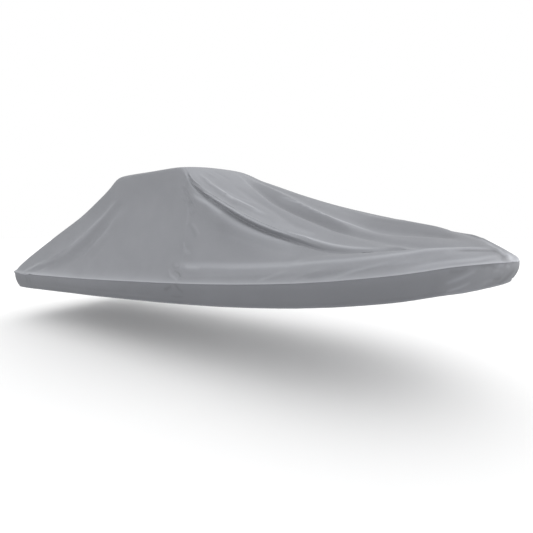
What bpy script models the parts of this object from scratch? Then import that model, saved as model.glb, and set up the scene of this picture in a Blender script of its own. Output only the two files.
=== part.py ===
"""A fitted, hollow cover for an open boat with a tower, as it hangs on the boat.

The cover is cut and sewn as a maker would do it. A crown panel runs from the stern over the tower to
the bow. Two side panels on each hand fall from its shoulder seams to the gunwale seam. Three skirt
bands hang under that seam and are drawn in at the hem. Each piece is a closed sheet of cloth.

X runs forward, Y to port and Z up, in metres. The origin is the underside of the cloth on top of the
tower, on the centreline, where the covered boat holds the cover up.
"""

from collections import namedtuple

import bmesh
import bpy
import numpy as np

# Driving dimensions.
CLOTH = 0.002  # thickness of the coated cloth
GAP = 0.0003  # sewn pieces stand this far apart
CROWN = 1.755  # outer face of the cloth at the mount, above the stern end of the gunwale seam
BOW_TIP = 4.28  # foremost point of the gunwale seam
FAN_START = 2.60  # forward of this the ribs fan out round the bow
CENTRE_END = 3.88  # foremost point of the foredeck's ridge
BOW_FULLNESS = 1.35  # a smaller power gives a blunter bow in plan
COAMING_INSET = 0.055  # the coaming stands this far inside the gunwale seam
COAMING_BULGE = 0.012  # the cloth stands out this far between coaming and seam
FULL_RISE = 0.10  # a coaming lower than this is inset and bulges less, in proportion
LEAST_SIDE = 0.02  # the side's least share of the half width, where the shoulder meets the coaming
STERN_BOW = 0.05  # the transom is this much fuller on the centreline
STERN_REACH = 0.60  # and its fullness fades over this length
SKIRT_TUCK = 0.055  # the hem is drawn in this far under the seam
SKIRT_BELLY = 0.010  # and the cloth above it stands out this far
ROUNDING = 10  # smoothing passes over the fine grid, which give the cloth its corner radius
FINE = 6  # fine grid steps from one knot to the next
WIDE_STEP = 0.13  # where knots lie further apart than this across a panel, one more line is built
TURN_STEP = 0.02  # the skirt's outward directions are worked out this far apart round the seam
TURN_ROUNDING = 10  # smoothing passes over them, which turn the skirt gradually round the corners

# Cross-sections of the cover, from stern to bow. Heights are above the stern end of the gunwale seam.
# beam: half width at the gunwale seam; seam: its height; centre: height on the centreline;
# power: how the crown falls off, from 1 for a tent to 2 for an arch; at: how far out the shoulder
# seam lies, as a share of the half width; shoulder: its height; hollow: how far the side is drawn in
# between shoulder and coaming; rise: height of the coaming over the gunwale seam; skirt: its depth.
Section = namedtuple("Section", "x beam seam centre power at shoulder hollow rise skirt")
SECTIONS = (
    Section(-4.05, 1.100, 0.000, 0.020, 2.0, 0.950, 0.012, 0.000, 0.004, 0.305),
    Section(-3.98, 1.185, 0.000, 0.065, 2.0, 0.950, 0.050, 0.000, 0.012, 0.305),
    Section(-3.80, 1.205, 0.002, 0.170, 2.0, 0.945, 0.145, 0.004, 0.030, 0.305),
    Section(-3.45, 1.210, 0.006, 0.350, 2.0, 0.930, 0.315, 0.008, 0.050, 0.300),
    Section(-2.95, 1.215, 0.018, 0.600, 2.0, 0.900, 0.545, 0.015, 0.070, 0.290),
    Section(-2.30, 1.230, 0.045, 0.905, 2.0, 0.865, 0.825, 0.025, 0.085, 0.285),
    Section(-1.67, 1.240, 0.070, 1.180, 2.0, 0.835, 1.090, 0.035, 0.090, 0.280),
    Section(-1.15, 1.250, 0.095, 1.435, 2.0, 0.820, 1.350, 0.040, 0.095, 0.280),
    Section(-0.86, 1.250, 0.110, 1.600, 2.0, 0.810, 1.515, 0.040, 0.100, 0.280),
    Section(-0.68, 1.250, 0.119, 1.705, 2.2, 0.800, 1.645, 0.040, 0.100, 0.280),
    Section(-0.50, 1.250, 0.129, 1.740, 2.2, 0.800, 1.660, 0.040, 0.100, 0.280),
    Section(0.00, 1.250, 0.157, 1.755, 2.2, 0.800, 1.665, 0.040, 0.100, 0.280),
    Section(0.45, 1.250, 0.182, 1.765, 2.2, 0.800, 1.674, 0.040, 0.105, 0.280),
    Section(0.66, 1.250, 0.197, 1.765, 2.2, 0.800, 1.668, 0.035, 0.110, 0.280),
    Section(0.80, 1.250, 0.206, 1.750, 2.0, 0.795, 1.465, 0.030, 0.120, 0.280),
    Section(1.27, 1.250, 0.242, 1.560, 1.6, 0.780, 1.190, 0.030, 0.145, 0.280),
    Section(1.88, 1.245, 0.296, 1.345, 1.5, 0.780, 0.915, 0.020, 0.170, 0.275),
    Section(2.35, 1.235, 0.347, 1.195, 1.4, 0.800, 0.762, 0.010, 0.180, 0.270),
    Section(2.66, 1.220, 0.388, 1.110, 1.4, 0.830, 0.668, 0.004, 0.190, 0.265),
    Section(3.00, 1.150, 0.440, 1.025, 1.3, 0.870, 0.644, 0.000, 0.184, 0.265),
    Section(3.32, 1.050, 0.487, 0.945, 1.2, 0.900, 0.680, 0.000, 0.184, 0.265),
    Section(3.76, 0.730, 0.560, 0.840, 1.2, 0.910, 0.730, 0.000, 0.162, 0.260),
    Section(4.07, 0.370, 0.575, 0.800, 1.3, 0.920, 0.705, 0.000, 0.118, 0.225),
    Section(4.28, 0.000, 0.565, 0.800, 1.3, 0.930, 0.610, 0.000, 0.035, 0.200),
)

# Where the ribs and the lines along the cover are drawn. The ribs up to the fan are stations on X,
# and the fan's are shares of its quarter turn. The lines are shares of the way from the centreline
# to the shoulder, on to the coaming, and on to the gunwale seam.
STERN_RIBS = (-4.05, -3.98, -3.88)
RIBS_TO_TOWER = (-3.76, -0.80, 17)
RIBS_ON_TOWER = (-0.66, 0.66, 7)
RIBS_TO_FAN = (0.76, 2.60, 13)
FAN_RIBS = 14
CROWN_LINES = (0.0, 0.14, 0.28, 0.42, 0.56, 0.70, 0.84)
SIDE_LINES = (0.0, 0.05, 0.11, 0.18, 0.28, 0.46, 0.70)
GUNWALE_LINES = (0.0, 0.5, 1.0)
SKIRT_LINES = (0.0, 0.3, 0.66, 1.0)
SEAM_STATION = 0.76  # the side panels are joined here, under the tower's front corner
SKIRT_STATION = -3.02  # the stern band runs round the corners to here

# The main folds. u is the rib's station; v is 0 on the centreline, 1 on the shoulder seam, 2 on the
# coaming and 3 on the gunwale seam. A fold runs on a smooth curve through its places.
# side: -1 starboard, 1 port; places: (u, v); height: of the ridge, below zero for a trough; width: to
# its flank.
Fold = namedtuple("Fold", "side places height width")
STARBOARD_FOLDS = (
    Fold(-1, ((0.72, 1.00), (1.15, 1.02), (1.60, 1.03), (2.00, 1.02), (2.45, 0.98)), 0.018, 0.035),
    Fold(-1, ((0.76, 1.04), (1.15, 1.08), (1.53, 1.11), (2.32, 1.15), (2.55, 1.14)), -0.048, 0.036),
    Fold(-1, ((0.79, 1.16), (1.07, 1.20), (1.60, 1.27), (2.00, 1.32), (2.30, 1.34)), 0.045, 0.100),
    Fold(-1, ((1.20, 0.18), (1.56, 0.29), (2.10, 0.43), (2.60, 0.54), (2.76, 0.59)), 0.036, 0.060),
    Fold(-1, ((1.02, 0.22), (1.40, 0.38), (1.80, 0.53), (2.50, 0.61), (3.05, 0.80)), -0.052, 0.075),
    Fold(-1, ((2.30, 1.00), (2.55, 0.93), (2.75, 0.91), (2.95, 0.94), (3.12, 1.04)), 0.016, 0.060),
    Fold(-1, ((0.66, 2.02), (1.20, 2.05), (2.50, 2.06), (3.00, 2.10), (3.72, 2.12)), 0.030, 0.090),
    Fold(-1, ((-3.52, 2.40), (-3.09, 1.76), (-2.42, 1.63)), 0.024, 0.060),
    Fold(-1, ((-2.85, 1.70), (-2.05, 1.50), (-1.41, 1.36), (-0.98, 1.30), (-0.55, 1.22)), 0.042, 0.090),
    Fold(-1, ((-2.80, 1.96), (-2.26, 1.84), (-1.82, 1.69), (-1.38, 1.55), (-0.81, 1.40)), -0.034, 0.100),
    Fold(-1, ((1.05, 1.42), (1.66, 1.44), (2.10, 1.55), (2.40, 1.60)), -0.026, 0.130),
    Fold(-1, ((2.55, 0.34), (3.01, 0.52), (3.35, 0.60), (3.64, 0.70)), -0.050, 0.100),
    Fold(-1, ((2.40, 0.10), (2.80, 0.20), (3.18, 0.26), (3.75, 0.34)), 0.018, 0.080),
    Fold(-1, ((2.90, 0.72), (3.12, 0.88), (3.30, 1.00), (3.70, 0.95)), -0.022, 0.065),
    Fold(-1, ((-3.60, 0.72), (-2.30, 0.60), (-0.95, 0.70)), 0.024, 0.110),
    Fold(-1, ((-3.50, 0.20), (-2.40, 0.30), (-1.00, 0.25)), -0.022, 0.120),
)
PORT_FOLDS = (
    Fold(1, ((0.74, 1.00), (1.70, 1.02), (2.55, 0.99)), 0.018, 0.038),
    Fold(1, ((0.80, 1.06), (1.60, 1.14), (2.50, 1.20)), -0.046, 0.050),
    Fold(1, ((0.85, 1.14), (1.50, 1.23), (2.10, 1.30)), 0.022, 0.080),
    Fold(1, ((0.85, 0.70), (1.60, 0.80), (2.40, 0.84)), 0.022, 0.060),
    Fold(1, ((1.00, 0.34), (1.95, 0.46), (2.90, 0.68)), -0.036, 0.095),
    Fold(1, ((1.10, 0.14), (2.10, 0.24), (3.00, 0.48)), 0.026, 0.070),
    Fold(1, ((0.66, 2.00), (1.80, 2.05), (2.80, 2.08), (3.66, 2.12)), 0.030, 0.090),
    Fold(1, ((-3.40, 2.40), (-2.90, 1.74), (-2.20, 1.56)), 0.018, 0.060),
    Fold(1, ((-2.55, 1.50), (-1.50, 1.34), (-0.66, 1.20)), 0.028, 0.080),
    Fold(1, ((-2.50, 1.76), (-1.60, 1.55), (-0.80, 1.38)), -0.020, 0.090),
    Fold(1, ((2.95, 0.58), (3.30, 0.76), (3.60, 0.84)), -0.024, 0.075),
    Fold(1, ((-3.60, 0.80), (-2.30, 0.66), (-0.95, 0.74)), 0.024, 0.100),
    Fold(1, ((-3.50, 0.30), (-2.20, 0.22), (-1.00, 0.34)), -0.026, 0.130),
)
FOLDS = STARBOARD_FOLDS + PORT_FOLDS
FOLD_POINTS = 24
FOLD_FADE_V = 0.5  # folds die away over this much v before the gunwale seam
FOLD_FADE_U = 0.2  # and over this length before the stern

CLOTH_GREY = (0.30, 0.31, 0.33, 1.0)
SKIRT_GREY = (0.22, 0.225, 0.24, 1.0)
ROUGHNESS = 0.72
EDGE_ANGLE = 0.8  # radians; a piece's cut edges stay sharp in its shading
TINY = 1e-9  # metres; lengths under this count as nothing


def clear_scene():
    for old in list(bpy.data.objects):
        bpy.data.objects.remove(old, do_unlink=True)


def unit(vectors):
    return vectors / np.maximum(np.linalg.norm(vectors, axis=-1, keepdims=True), TINY)


def column(name, at):
    """Read a column of SECTIONS at any station, on a cubic that never overshoots the rows."""
    xs = np.array([row.x for row in SECTIONS])
    ys = np.array([getattr(row, name) for row in SECTIONS])
    step = np.diff(xs)
    slope = np.diff(ys) / step
    turns = slope[:-1] * slope[1:] <= 0
    total = np.where(turns, 1.0, slope[:-1] + slope[1:])
    inner = np.where(turns, 0.0, 2 * slope[:-1] * slope[1:] / total)
    tangent = np.concatenate(([slope[0]], inner, [slope[-1]]))
    i = np.clip(np.searchsorted(xs, at) - 1, 0, len(step) - 1)
    t = (at - xs[i]) / step[i]
    rise = ys[i + 1] - ys[i]
    start = tangent[i] * step[i]
    end = tangent[i + 1] * step[i]
    return ys[i] + t * (start + t * (3 * rise - 2 * start - end + t * (start + end - 2 * rise)))


def refine(knots):
    """Add the fine grid's steps between the knots."""
    knots = np.asarray(knots, float)
    return np.interp(np.arange((len(knots) - 1) * FINE + 1) / FINE, np.arange(len(knots)), knots)


def rib_knots():
    """Stations of the ribs. One forward of FAN_START stands for a share of the fan's quarter turn."""
    runs = [STERN_RIBS]
    runs += [np.linspace(*run) for run in (RIBS_TO_TOWER, RIBS_ON_TOWER, RIBS_TO_FAN)]
    runs.append(np.linspace(FAN_START, BOW_TIP, FAN_RIBS + 1)[1:])
    return np.concatenate(runs)


def line_knots():
    """Places of the lines, from the centreline to the gunwale seam, as v runs from 0 to 3."""
    side = [1 + share for share in SIDE_LINES]
    return np.array(list(CROWN_LINES) + side + [2 + share for share in GUNWALE_LINES])


def rib_ends(u):
    """Plan position of each rib's inner end on the centreline, and outer end on the gunwale."""
    turn = np.clip((u - FAN_START) / (BOW_TIP - FAN_START), 0, 1)
    angle = turn * np.pi / 2
    fan = u > FAN_START
    fan_beam = column("beam", np.array([FAN_START]))[0]
    inner = np.where(fan, FAN_START + (CENTRE_END - FAN_START) * turn, u)
    outer = np.where(fan, FAN_START + (BOW_TIP - FAN_START) * np.sin(angle), u)
    beam = np.where(fan, fan_beam * np.cos(angle) ** BOW_FULLNESS, column("beam", u))
    return inner, outer, np.maximum(beam, 0)


def half_cover(u, v):
    """Points of one half of the cover, at every rib u and line v, with Y positive."""
    inner, outer, beam = (part[:, None] for part in rib_ends(u))
    reach = np.hypot(outer - inner, beam)
    names = ("seam", "power", "at", "shoulder", "hollow", "rise")
    station = {name: column(name, outer) for name in names}
    centre = column("centre", inner)
    v = v[None, :]

    on_crown = np.clip(v, 0, 1)
    crown_share = station["at"] * on_crown
    crown_height = centre - (centre - station["shoulder"]) * on_crown ** station["power"]

    on_side = np.clip(v - 1, 0, 1)
    stands = np.minimum(station["rise"] / FULL_RISE, 1)
    coaming_share = np.maximum(1 - COAMING_INSET * stands / reach, station["at"] + LEAST_SIDE)
    coaming = station["seam"] + station["rise"]
    across = (coaming_share - station["at"]) * reach
    fall = station["shoulder"] - coaming
    chord = np.hypot(across, fall)
    drawn_in = station["hollow"] * 4 * on_side * (1 - on_side)
    side_share = station["at"] + (across * on_side - drawn_in * fall / chord) / reach
    side_height = station["shoulder"] - fall * on_side - drawn_in * across / chord

    on_gunwale = np.clip(v - 2, 0, 1)
    bulge = COAMING_BULGE * 4 * on_gunwale * (1 - on_gunwale) * stands
    gunwale_share = coaming_share + (1 - coaming_share) * on_gunwale + bulge / reach
    gunwale_height = coaming - station["rise"] * on_gunwale

    share = np.where(v <= 1, crown_share, np.where(v <= 2, side_share, gunwale_share))
    height = np.where(v <= 1, crown_height, np.where(v <= 2, side_height, gunwale_height))
    near_stern = np.clip(1 - (u[:, None] - SECTIONS[0].x) / STERN_REACH, 0, 1)
    x = inner + (outer - inner) * share - STERN_BOW * (1 - share ** 2) * near_stern
    return np.stack([x, beam * share, height - CROWN + CLOTH], axis=-1)


def smooth(points):
    """Round the cloth's corners, the bow's rib with both of its hands. The edges stay."""
    for _ in range(ROUNDING):
        points[1:-1] += (points[:-2] + points[2:] - 2 * points[1:-1]) / 4
        points[-1, 1:-1] += (points[-2, 1:-1] + points[-2, -2:0:-1] - 2 * points[-1, 1:-1]) / 4
        points[:, 1:-1] += (points[:, :-2] + points[:, 2:] - 2 * points[:, 1:-1]) / 4
    return points


def normals_of(points):
    """Outward normals of a grid whose rows run from stern to bow and columns from starboard to port."""
    along = np.gradient(points, axis=0)
    across = np.gradient(points, axis=1)
    return unit(np.cross(along, across))


def curve(places, count):
    """Points along a cubic that passes through the places."""
    places = np.array(places)
    last = len(places) - 1
    at = np.linspace(0, last, count)
    i = np.minimum(at.astype(int), last - 1)
    t = (at - i)[:, None]
    before, here, there, after = (places[np.clip(i + k, 0, last)] for k in (-1, 0, 1, 2))
    bend = 2 * before - 5 * here + 4 * there - after
    twist = 3 * here - 3 * there + after - before
    return here + t / 2 * (there - before + t * (bend + t * twist))


def fold_route(points, u, v, fold):
    """A fold's line on the cloth, as points in space."""
    at_u, at_v = curve(fold.places, FOLD_POINTS).T
    row = np.rint(np.interp(at_u, u, np.arange(len(u)))).astype(int)
    line = np.rint(np.interp(fold.side * at_v, v, np.arange(len(v)))).astype(int)
    return points[row, line]


def fold_height(points, route, fold):
    """How far a fold lifts each point of the grid, from the point's distance to the fold's line."""
    nearest = np.full(points.shape[:2], np.inf)
    travelled = np.zeros(points.shape[:2])
    steps = len(route) - 1
    for i in range(steps):
        leg = route[i + 1] - route[i]
        share = np.clip((points - route[i]) @ leg / max(leg @ leg, TINY), 0, 1)
        distance = np.linalg.norm(points - route[i] - share[..., None] * leg, axis=-1)
        closer = distance < nearest
        nearest = np.where(closer, distance, nearest)
        travelled = np.where(closer, (i + share) / steps, travelled)
    fade = np.sqrt(np.clip(np.sin(np.pi * np.clip(travelled, 0, 1)), 0, 1))
    return fold.height * fade * np.exp(-((nearest / fold.width) ** 2))


def upper_grid():
    """The whole cover above the gunwale seam: points, normals, and the u and v of rows and columns."""
    u = refine(rib_knots())
    v = refine(line_knots())
    port = half_cover(u, v)
    starboard = port * np.array([1, -1, 1])
    points = smooth(np.concatenate([starboard[:, :0:-1], port], axis=1))
    both = np.concatenate([-v[:0:-1], v])
    normals = normals_of(points)
    lift = sum(fold_height(points, fold_route(points, u, both, fold), fold) for fold in FOLDS)
    off_gunwale = np.clip((3 - np.abs(both)) / FOLD_FADE_V, 0, 1)
    off_stern = np.clip((u - u[0]) / FOLD_FADE_U, 0, 1)
    points = points + normals * (lift * off_gunwale * off_stern[:, None])[..., None]
    points[-1] = on_centreline(points[-1], points[-1, ::-1])
    normals = normals_of(points)
    normals[-1] = unit(on_centreline(normals[-1], normals[-1, ::-1]))
    return points, normals, u, both


def on_centreline(starboard, port):
    """Bring what lies on the two hands of the bow together on the centreline."""
    return (starboard + port) / 2 * np.array([1, 0, 1])


def gunwale_loop(grid):
    """The gunwale seam from the bow down the starboard side, across the stern and up the port side."""
    return np.concatenate([grid[::-1, 0], grid[0, 1:-1], grid[:, -1]])


def outward_round(loop):
    """Level directions away from the cover, which turn gradually round the loop's corners."""
    run = np.concatenate([[0], np.cumsum(np.linalg.norm(np.diff(loop, axis=0), axis=1))])
    even = np.linspace(0, run[-1], int(run[-1] / TURN_STEP))
    line = np.stack([np.interp(even, run, loop[:, axis]) for axis in range(3)], axis=-1)
    along = np.gradient(line, axis=0)
    outward = unit(np.stack([-along[:, 1], along[:, 0], np.zeros(len(even))], axis=-1))
    outward[0] = outward[-1] = (1.0, 0.0, 0.0)
    for _ in range(TURN_ROUNDING):
        outward[1:-1] = unit(outward[:-2] + 2 * outward[1:-1] + outward[2:])
    return unit(np.stack([np.interp(run, even, outward[:, axis]) for axis in range(3)], axis=-1))


def skirt_grid(points):
    """The skirt under the gunwale seam: rows follow the seam's loop, columns go down to the hem."""
    loop = gunwale_loop(points)
    depth = column("skirt", loop[:, 0])[:, None, None]
    down = refine(SKIRT_LINES)[None, :, None]
    out = SKIRT_BELLY * 4 * down * (1 - down) - SKIRT_TUCK * down ** 2
    return loop[:, None] + outward_round(loop)[:, None] * out - np.array([0, 0, 1]) * depth * down


def sheet(name, outer, normals, material, welded=False):
    """Make one closed piece of cloth from a grid. A welded grid's last row folds onto itself."""
    inner = outer - normals * CLOTH
    rows, columns = outer.shape[:2]
    bm = bmesh.new()

    def place(layer, i, j):
        same = welded and i == rows - 1
        return layer, i, min(j, columns - 1 - j) if same else j

    verts = {}
    for layer, grid in enumerate((outer, inner)):
        for i in range(rows):
            for j in range(columns):
                key = place(layer, i, j)
                if key not in verts:
                    verts[key] = bm.verts.new(grid[i, j])

    def face(*keys):
        corners = list(dict.fromkeys(verts[place(*key)] for key in keys))
        if len(corners) > 2:
            bm.faces.new(corners)

    for i in range(rows - 1):
        for j in range(columns - 1):
            face((0, i, j), (0, i + 1, j), (0, i + 1, j + 1), (0, i, j + 1))
            face((1, i, j), (1, i, j + 1), (1, i + 1, j + 1), (1, i + 1, j))
    for i in range(rows - 1):
        face((0, i, 0), (1, i, 0), (1, i + 1, 0), (0, i + 1, 0))
        last = columns - 1
        face((0, i, last), (0, i + 1, last), (1, i + 1, last), (1, i, last))
    for j in range(columns - 1):
        face((0, 0, j), (0, 0, j + 1), (1, 0, j + 1), (1, 0, j))
        last = rows - 1
        if not welded:
            face((0, last, j), (1, last, j), (1, last, j + 1), (0, last, j + 1))

    mesh = bpy.data.meshes.new(name)
    bm.to_mesh(mesh)
    bm.free()
    mesh.shade_smooth()
    mesh.set_sharp_from_angle(angle=EDGE_ANGLE)
    mesh.materials.append(material)
    piece = bpy.data.objects.new(name, mesh)
    bpy.context.scene.collection.objects.link(piece)
    return piece


def pull_in(grid, last_row=True):
    """Draw a piece's edges in by half the gap that parts it from its neighbours."""
    grid = grid.copy()
    half = GAP / 2
    grid[0] += unit(grid[1] - grid[0]) * half
    if last_row:
        grid[-1] += unit(grid[-2] - grid[-1]) * half
    grid[:, 0] += unit(grid[:, 1] - grid[:, 0]) * half
    grid[:, -1] += unit(grid[:, -2] - grid[:, -1]) * half
    return grid


def built_lines(v):
    """The lines that are built: every knot, and one half way where the knots lie far apart."""
    line = []
    for j in range(0, len(v) - 1, FINE):
        line.append(j)
        ends = np.abs(v[[j, j + FINE]])
        if np.ptp(ends) > WIDE_STEP and ends.max() < 2 + TINY:
            line.append(j + FINE // 2)
    return line + [len(v) - 1]


def cloth_material(name, colour):
    material = bpy.data.materials.new(name)
    material.use_nodes = True
    shader = material.node_tree.nodes["Principled BSDF"]
    shader.inputs["Base Color"].default_value = colour
    shader.inputs["Roughness"].default_value = ROUGHNESS
    shader.inputs["Metallic"].default_value = 0.0
    return material


def build_cover():
    points, normals, u, v = upper_grid()
    skirt = skirt_grid(points)
    skirt_normals = normals_of(skirt)

    # Cloth on both sides of the gunwale seam shares one normal there, so the two edges meet squarely.
    skirt_normals[:, 0] = unit(gunwale_loop(normals) + skirt_normals[:, 0])
    skirt_normals[0] = skirt_normals[-1] = unit(on_centreline(skirt_normals[0], skirt_normals[-1]))
    shared = skirt_normals[:, 0]
    rows, columns = points.shape[:2]
    normals[::-1, 0] = shared[:rows]
    normals[0, 1:-1] = shared[rows : rows + columns - 2]
    normals[:, -1] = shared[rows + columns - 2 :]

    rib = list(range(0, rows, FINE))
    line = built_lines(v)
    shoulder = [j for j in line if abs(abs(v[j]) - 1) < TINY]
    seam_rib = min(rib, key=lambda i: abs(u[i] - SEAM_STATION))
    crown_lines = [j for j in line if shoulder[0] <= j <= shoulder[1]]
    starboard_lines = [j for j in line if j <= shoulder[0]]
    port_lines = [j for j in line if j >= shoulder[1]]
    aft_ribs = [i for i in rib if i <= seam_rib]
    fore_ribs = [i for i in rib if i >= seam_rib]

    panels = (
        ("crown_panel", rib, crown_lines, True),
        ("starboard_aft_panel", aft_ribs, starboard_lines, False),
        ("starboard_fore_panel", fore_ribs, starboard_lines, False),
        ("port_aft_panel", aft_ribs, port_lines, False),
        ("port_fore_panel", fore_ribs, port_lines, False),
    )
    for name, panel_ribs, panel_lines, welded in panels:
        pick = np.ix_(panel_ribs, panel_lines)
        grid = pull_in(points[pick], last_row=not welded)
        sheet(name, grid, normals[pick], cloth_material(name, CLOTH_GREY), welded)

    # The skirt's loop starts at the bow on starboard, so its ribs are counted back from there.
    corner = min(rib, key=lambda i: abs(u[i] - SKIRT_STATION))
    starboard_end = rows - 1 - corner
    port_start = rows + columns - 2 + corner
    loop_end = len(skirt) - 1
    starboard_loop = [rows - 1 - i for i in reversed(rib)]
    stern_loop = [rows - 1 + j for j in line[1:-1]]
    port_loop = [rows + columns - 2 + i for i in rib]
    loop = starboard_loop + stern_loop + port_loop
    down = list(range(0, skirt.shape[1], FINE))
    bands = (
        ("starboard_skirt", 0, starboard_end),
        ("stern_skirt", starboard_end, port_start),
        ("port_skirt", port_start, loop_end),
    )
    for name, start, end in bands:
        pick = np.ix_([i for i in loop if start <= i <= end], down)
        grid = pull_in(skirt[pick])
        sheet(name, grid, skirt_normals[pick], cloth_material(name, SKIRT_GREY))


clear_scene()
build_cover()
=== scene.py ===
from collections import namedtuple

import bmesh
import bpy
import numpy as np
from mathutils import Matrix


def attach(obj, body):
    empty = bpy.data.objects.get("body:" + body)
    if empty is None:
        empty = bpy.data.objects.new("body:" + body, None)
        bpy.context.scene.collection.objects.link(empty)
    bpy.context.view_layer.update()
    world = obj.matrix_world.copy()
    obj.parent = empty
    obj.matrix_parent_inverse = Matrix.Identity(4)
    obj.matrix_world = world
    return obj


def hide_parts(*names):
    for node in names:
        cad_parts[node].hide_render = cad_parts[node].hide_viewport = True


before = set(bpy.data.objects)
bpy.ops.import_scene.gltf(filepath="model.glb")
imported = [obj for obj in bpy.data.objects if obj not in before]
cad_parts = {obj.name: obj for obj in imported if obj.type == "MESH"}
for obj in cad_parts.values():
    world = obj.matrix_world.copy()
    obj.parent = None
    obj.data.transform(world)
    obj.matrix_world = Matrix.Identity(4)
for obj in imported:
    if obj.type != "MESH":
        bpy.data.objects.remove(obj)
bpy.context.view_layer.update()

# %% [markdown]
# # A fitted cover for a boat with a tower
# The cover hangs over a boat that isn't shown, so it is hollow and open underneath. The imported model
# gives eight closed pieces of cloth. Here each one is made again on the same surface with a finer
# grid, and gets its creases, seams, hem and finish. Lengths are in metres, X runs forward, Y to port
# and Z up, and the origin is under the cloth on top of the tower.

# %% [markdown]
# ## Camera
# A person standing by the bow sees the cover from starboard. A lens is a focal length over a sensor
# width, so a wide view of a long object from close by needs a short lens. The eye's height over the
# ground is a real size, and the ground lies under the tower by the height of boat and trailer. The
# camera could be made to track the cover, but two angles say the same in numbers that can be read.

# %% Camera
GROUND = -2.705
EYE_HEIGHT = 1.84
EYE = (3.65, -3.95, GROUND + EYE_HEIGHT)
LOOK_LEFT = np.radians(30.5)
LOOK_DOWN = np.radians(7.1)
SENSOR = 36.0
LENS = 20.78
VIEW_LIMIT = 500.0

camera_data = bpy.data.cameras.new("camera")
camera_data.sensor_width = SENSOR
camera_data.lens = LENS
camera_data.clip_end = VIEW_LIMIT
camera = bpy.data.objects.new("camera", camera_data)
camera.location = EYE
camera.rotation_euler = (np.pi / 2 - LOOK_DOWN, 0.0, LOOK_LEFT)
bpy.context.scene.collection.objects.link(camera)
bpy.context.scene.camera = camera
print("camera at", [round(part, 2) for part in EYE])

# %% [markdown]
# ## Studio
# Cloth shows its folds in soft light that comes more from one side. A dome that is brighter overhead
# than at the horizon lights what faces up, and a wide sun, low ahead of the bow and a little to port,
# leaves each fold a lit and a shaded flank. Area lamps would do it too, but their light falls off
# along eight metres of cover. The camera sees a plain white surround in place of the dome.

# %% Floor
FLOOR_RADIUS = 60.0
FLOOR_TONE = (0.86, 0.86, 0.86, 1.0)
FLOOR_ROUGHNESS = 0.9
FLOOR_SIDES = 64

floor_mesh = bpy.data.meshes.new("floor")
floor_shape = bmesh.new()
bmesh.ops.create_circle(floor_shape, cap_ends=True, segments=FLOOR_SIDES, radius=FLOOR_RADIUS)
floor_shape.to_mesh(floor_mesh)
floor_shape.free()
floor = bpy.data.objects.new("floor", floor_mesh)
floor.location = (0.0, 0.0, GROUND)
bpy.context.scene.collection.objects.link(floor)
floor_material = bpy.data.materials.new("floor")
floor_material.use_nodes = True
floor_shader = floor_material.node_tree.nodes["Principled BSDF"]
floor_shader.inputs["Base Color"].default_value = FLOOR_TONE
floor_shader.inputs["Roughness"].default_value = FLOOR_ROUGHNESS
floor_mesh.materials.append(floor_material)
print("floor at", GROUND, "with a radius of", FLOOR_RADIUS)

# %% Dome
DOME_ZENITH = 1.52
DOME_HORIZON = 0.80
SURROUND = 1.0

world = bpy.data.worlds.new("studio")
world.use_nodes = True
bpy.context.scene.world = world
dome = world.node_tree
dome.nodes.clear()
direction = dome.nodes.new("ShaderNodeTexCoord")
axes = dome.nodes.new("ShaderNodeSeparateXYZ")
level = dome.nodes.new("ShaderNodeMapRange")
level.inputs["From Min"].default_value = 0.0
level.inputs["From Max"].default_value = 1.0
level.inputs["To Min"].default_value = DOME_HORIZON
level.inputs["To Max"].default_value = DOME_ZENITH
path = dome.nodes.new("ShaderNodeLightPath")
seen = dome.nodes.new("ShaderNodeMix")
seen.inputs["B"].default_value = SURROUND
sky = dome.nodes.new("ShaderNodeBackground")
sky.inputs["Color"].default_value = (1.0, 1.0, 1.0, 1.0)
output = dome.nodes.new("ShaderNodeOutputWorld")
dome.links.new(direction.outputs["Generated"], axes.inputs["Vector"])
dome.links.new(axes.outputs["Z"], level.inputs["Value"])
dome.links.new(path.outputs["Is Camera Ray"], seen.inputs["Factor"])
dome.links.new(level.outputs["Result"], seen.inputs["A"])
dome.links.new(seen.outputs["Result"], sky.inputs["Strength"])
dome.links.new(sky.outputs["Background"], output.inputs["Surface"])
print("dome from", DOME_HORIZON, "at the horizon to", DOME_ZENITH, "overhead")

# %% Key light
KEY_BEARING = np.radians(24.0)
KEY_RISE = np.radians(6.0)
KEY_SOFTNESS = np.radians(35.0)
KEY_STRENGTH = 2.2

key_data = bpy.data.lights.new("key", "SUN")
key_data.angle = KEY_SOFTNESS
key_data.energy = KEY_STRENGTH
key = bpy.data.objects.new("key", key_data)
key.rotation_euler = (0.0, np.pi / 2 - KEY_RISE, KEY_BEARING)
bpy.context.scene.collection.objects.link(key)
bpy.context.scene.view_settings.view_transform = "Standard"
print("key light", KEY_STRENGTH, "strong, from", round(np.degrees(KEY_RISE)), "degrees above level")

# %% [markdown]
# ## The cover's surface
# The real cover is cut to fit and pulled tight, so it keeps one shape. Blender's Cloth could drape a
# sheet over a boat, but the sheet would find its own place, and these pieces have theirs already. So
# the surface is a loft through cross-sections. Each row of this table is one, from stern to bow, and
# every column is a size that a maker would chalk on the cloth. Heights are above the stern end of the
# gunwale seam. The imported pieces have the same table, but for a skirt that is up to 15 mm shallower
# in its last three rows.

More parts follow.
